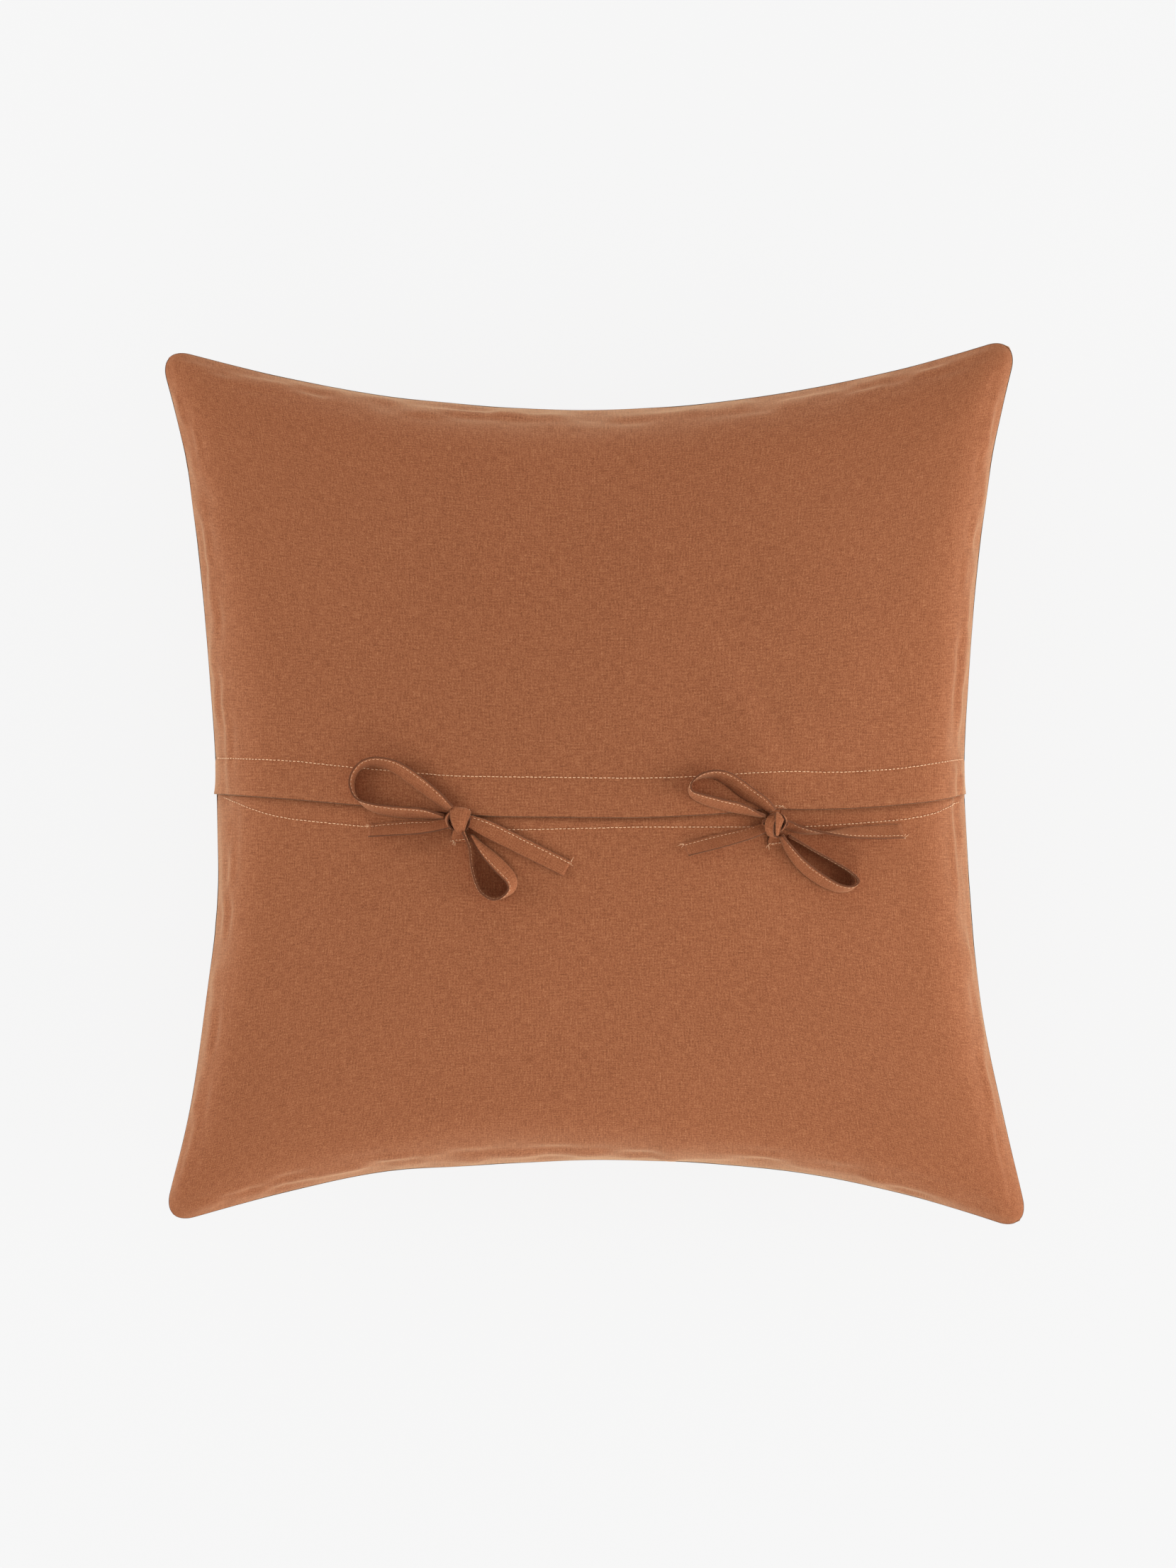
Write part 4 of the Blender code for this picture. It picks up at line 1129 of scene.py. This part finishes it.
# A knot: narrow folded bands of tape wrapped round a core, which is the crossing tapes squeezed
# together. Each band's places are x, y and height from the knot's foot and its width, in millimetres.
knotForm = {
    "coreSize": (6.0, 6.4, 4.9),      # half its length, width and height, in millimetres
    "coreHeight": 5.0 * mm, "lift": 0.4 * mm,
    "wrapThickness": 0.9,             # as a share of a tie's
    "wrapCurve": 34 * mm,             # how tightly a band hugs what is under it
    "creaseHeight": 0.28 * mm, "creasePitch": 6 * mm,
    # painted shade along the edges of the knot's bands, where shadow falls between them
    "paintedEdgeShade": -0.8, "paintedEdgeShadeWidth": 0.06,
}
leftWraps = (
    ((2.2, 8.4, 1.5, 14), (1.7, 9.4, 5.0, 15.5), (1.2, 8.0, 8.8, 16), (0.6, 3.5, 10.6, 15),
     (0.4, -1.5, 10.2, 12), (0.9, -5.8, 8.6, 8.5), (1.8, -8.8, 5.4, 5), (2.2, -9.4, 2.0, 4)),
    ((-2, 7.5, 3, 6), (-6.8, 5.4, 6.2, 6.5), (-9.2, 1.4, 6.8, 6.5), (-8.2, -2.8, 5.5, 6),
     (-4.5, -6.2, 3.0, 5.5)),
    ((3, 4, 4, 6), (7.2, 2.6, 5.0, 6.5), (7.6, -2.0, 4.8, 6), (4.6, -6.4, 3.4, 5.5)),
)
rightWraps = (
    ((2.5, 7.0, 3.5, 7), (-1.2, 5.6, 8.6, 7.5), (-3.6, 1.2, 10.8, 7.8), (-4.4, -4.0, 9.8, 7.5),
     (-2.8, -8.4, 6.0, 6.5), (1.0, -9.4, 2.0, 5)),
    ((4.6, 6.6, 3.0, 7), (3.9, 6.2, 8.4, 7.8), (3.2, 2.6, 11.6, 6.8), (2.4, -2.4, 11.2, 4.6),
     (1.9, -6.8, 8.2, 3), (1.6, -8.6, 4.0, 2.5)),
    ((4.0, 6.8, 4.5, 4.5), (7.2, 4.8, 7.2, 5), (8.2, 1.6, 6.8, 5), (6.6, -2.2, 5.6, 4.5), (3.6, -4.6, 3.6, 4)),
)


def wrapBand(name, wrap, foot, core, seed):
    fine = finePlaces(wrap, 6)
    centre = foot + fine[:, :3] * mm
    width = fine[:, 3] * mm
    along = unit(np.gradient(centre, axis=0))
    face = squareTo(along, unit(centre - core))
    broad = np.cross(face, along)
    s = tapeSection[:, 0]
    run = runAlong(centre)[:, None]
    still = np.zeros((len(centre), len(s)))
    across = s * width[:, None] / 2
    through = tapeSection[:, 1] * tie["thickness"] / 2 * knotForm["wrapThickness"]
    wobble = patchNoise(run / knotForm["creasePitch"] + still, still + 2.0, seed)
    crease = knotForm["creaseHeight"] * np.sin(s * 5.5 + wobble * 2.0)
    height = through + crease - across ** 2 / knotForm["wrapCurve"]
    points = centre[:, None] + broad[:, None] * across[..., None] + face[:, None] * height[..., None]
    # painted shade along the band's edges
    paintedEdgeMask = np.exp(-((1 - np.abs(s)) / knotForm["paintedEdgeShadeWidth"]) ** 2)
    return addPiece(name, points, tubeFaces(len(centre), len(s)), tapeLinen, tapeUvs(across, run),
                    knotForm["paintedEdgeShade"] * paintedEdgeMask + still)


def knotCore(name, core, seed):
    rings, ring = 12, 20
    a, b = np.meshgrid(np.linspace(-np.pi / 2, np.pi / 2, rings),
                       np.linspace(0, 2 * np.pi, ring + 1), indexing="ij")
    lump = 1 + 0.09 * np.sin(3 * b + 2 * a) + 0.05 * np.sin(7 * b + seed)
    shape = np.stack((np.cos(a) * np.cos(b) * lump, np.cos(a) * np.sin(b) * lump, np.sin(a)), -1)
    uv = np.stack(np.meshgrid(np.linspace(0, 0.02, rings), np.linspace(0, 0.04, ring + 1), indexing="ij"), -1)
    piece = addPiece(name, core + shape * knotForm["coreSize"] * mm, gridFaces(rings, ring + 1, flip=True),
                     tapeLinen, uv, np.zeros(a.size))
    weld(piece)
    return piece


def makeKnot(side, bow, wraps, seed):
    x, y = bow["knot"][0] * mm, bow["knot"][1] * mm
    z, _ = backHeight(np.array([x]), np.array([y]))
    foot = np.array([x, y, z[0] + knotForm["lift"]])
    core = foot + np.array([0, 0, knotForm["coreHeight"]])
    bands = [wrapBand(side + "KnotWrap" + "ABC"[n], wrap, foot, core, seed + n) for n, wrap in enumerate(wraps)]
    settle(knotCore(side + "KnotCore", core, seed), (side + "_knot",))
    for band in bands:
        settle(band, ())


# A tie's foot: the stretch from its hem to the knot, narrowing into the wraps, and its bar tack.
stem = {
    "stations": 15, "rest": 0.3 * mm,
    "upperStart": 0.3 * mm, "upperEnd": 2.0 * mm,       # below the flap's edge, above the knot's middle
    "upperWidths": (11.8 * mm, 5.0 * mm), "upperRise": 5.5 * mm, "clearOfEdge": 0.8 * mm,
    "lowerStart": 3 * mm, "lowerLength": 12.5 * mm,     # from the knot's middle
    "lowerWidths": (5.0 * mm, 11.2 * mm), "lowerRise": 4.5 * mm,
}
tack = {
    "fromEnd": 1.6 * mm, "halfLength": 5.6 * mm, "slant": 0.5 * mm, "stations": 30,
    "upperLift": 0.55 * mm, "lowerLift": 0.3 * mm + tie["thickness"],
    "endCount": 5, "endReach": 4.0 * mm, "endSpread": 0.8 * mm,
}


def makeStem(side, which, bow, seed):
    name = side + which.capitalize()
    knotX, knotY = bow["knot"][0] * mm, bow["knot"][1] * mm
    edge = float(lineY("flapEdge", np.array([knotX]))[0])
    t = np.linspace(0, 1, stem["stations"])
    x = np.full(stem["stations"], knotX)
    isUpper = which == "upper"
    start, end = stem["upperWidths"] if isUpper else stem["lowerWidths"]
    if isUpper:
        y = edge - stem["upperStart"] + (knotY + stem["upperEnd"] - edge) * t
        width = start + (end - start) * t ** 1.2
        lift = stem["rest"] + stem["upperRise"] * t ** 2
        z, up = backHeight(x, np.minimum(y, edge - stem["clearOfEdge"]))
    else:
        y = knotY - stem["lowerStart"] - stem["lowerLength"] * t
        width = start + (end - start) * np.minimum(t * 1.5, 1)
        lift = stem["rest"] + stem["lowerRise"] * (1 - t) ** 2
        z, up = backHeight(x, y)
    centre = np.stack((x, y, z), -1) + up * (lift + tie["thickness"] / 2)[:, None]
    along = unit(np.gradient(centre, axis=0))
    broad = unit(np.cross(up, along))
    piece = tapePiece(name + "Stem", centre, broad, np.cross(along, broad), width, 1, seed)
    settle(piece, (side + "_" + which + "_tie_stem",))

    # a row of stitches across the foot, and its thread's ends
    xs = knotX + np.linspace(-tack["halfLength"], tack["halfLength"], tack["stations"])
    ys = np.linspace(-tack["slant"], tack["slant"], tack["stations"]) + tack["fromEnd"]
    ys += edge if isUpper else y[-1]
    z, up = backHeight(xs, ys)
    route = np.stack((xs, ys, z), -1) + up * (tack["upperLift"] if isUpper else tack["lowerLift"])
    stitches = stitchRun(name + "Tack", route, up, peachThread, tackStitch, seed)
    settle(stitches, (side + "_" + which + "_tack",))
    outward = np.array((0.5, -0.6, 0.3) if isUpper else (-0.2, -0.9, 0.2))
    ends = looseEnds(name + "ThreadEnds", route[-1 if isUpper else 4], outward,
                     np.array((tack["endSpread"], 0, 0)), seed + 5, tack["endCount"], tack["endReach"])
    settle(ends, ())


for side, bow, wraps, seed in (("left", leftBow, leftWraps, 100), ("right", rightBow, rightWraps, 200)):
    for n, kind in enumerate(("upper_loop", "lower_loop", "left_tail", "right_tail")):
        makeTie(side, kind, bow, seed + 10 * n)
    makeKnot(side, bow, wraps, seed + 50)
    makeStem(side, "upper", bow, seed + 60)
    makeStem(side, "lower", bow, seed + 70)
print("bows tied")

# Floor, backdrop and studio light.
studio = {
    "paper": "#F5F5F5",       # the pale sweep that the cushion lies on
    "paperGlow": 0.96, "paperShades": ("#3A3A3A", "#3E3E3E"), "paperSize": 120,
    "horizon": 0.12, "zenith": 0.9,      # how high the sky starts and ends to dim
    "overhead": 0.54,         # the sky's brightness straight up, as a share of the horizon's
    "aim": (0, 0, 0.08),
    "lamps": (                # name, place, size, watts
        ("leftSoftbox", (-2.6, 0.3, 0.9), 1.4, 34),
        ("rightSoftbox", (2.7, -0.4, 0.9), 1.6, 62),
        ("endSoftbox", (0.3, -2.8, 1.1), 1.8, 30),
        ("topSoftbox", (-0.3, 2.8, 0.9), 1.8, 14),
    ),
}


# Backdrop paper: matt, with a faint uneven tone, lit from all round so that it stays pale.
def makeFloor():
    material, tree = emptyMaterial("paperSweep")
    grain = addNode(tree, "ShaderNodeTexNoise", {"Scale": 4.0, "Detail": 2.0})
    deep, bright = (linear(code) for code in studio["paperShades"])
    tone = addNode(tree, "ShaderNodeMix", {0: grain, 6: deep, 7: bright}, data_type="RGBA")
    shader = addNode(tree, "ShaderNodeBsdfPrincipled",
                     {"Base Color": tone.outputs[2], "Roughness": 1.0, "Specular IOR Level": 0.0,
                      "Emission Color": linear(studio["paper"]), "Emission Strength": studio["paperGlow"]})
    addNode(tree, "ShaderNodeOutputMaterial", {0: shader})
    r = studio["paperSize"] / 2
    floor = addPiece("paperFloor", [(-r, -r, 0), (r, -r, 0), (r, r, 0), (-r, r, 0)], [(0, 1, 2, 3)],
                     material, smooth=False)
    floor.location.z = -0.2 * mm


def makeSky():
    world = bpy.data.worlds.new("studioAir")
    bpy.context.scene.world = world
    world.use_nodes = True
    tree = world.node_tree
    tree.nodes.clear()
    direction = addNode(tree, "ShaderNodeTexCoord").outputs["Generated"]
    upward = addNode(tree, "ShaderNodeSeparateXYZ", {0: direction}).outputs[2]
    strength = addNode(tree, "ShaderNodeMapRange",
                       {0: upward, "From Min": studio["horizon"], "From Max": studio["zenith"],
                        "To Min": 1.0, "To Max": studio["overhead"]}, clamp=True)
    sky = addNode(tree, "ShaderNodeBackground", {"Color": linear(studio["paper"]), "Strength": strength})
    addNode(tree, "ShaderNodeOutputWorld", {0: sky})


def hangLamps():
    for name, place, size, watts in studio["lamps"]:
        softbox = bpy.data.lights.new(name, "AREA")
        softbox.shape = "SQUARE"
        softbox.size = size
        softbox.energy = watts
        lamp = bpy.data.objects.new(name, softbox)
        lamp.location = place
        lamp.rotation_euler = (Vector(studio["aim"]) - Vector(place)).to_track_quat("-Z", "Y").to_euler()
        lamp.visible_camera = False
        bpy.context.scene.collection.objects.link(lamp)


makeFloor()
makeSky()
hangLamps()
print("studio lit")

bpy.context.view_layer.update()
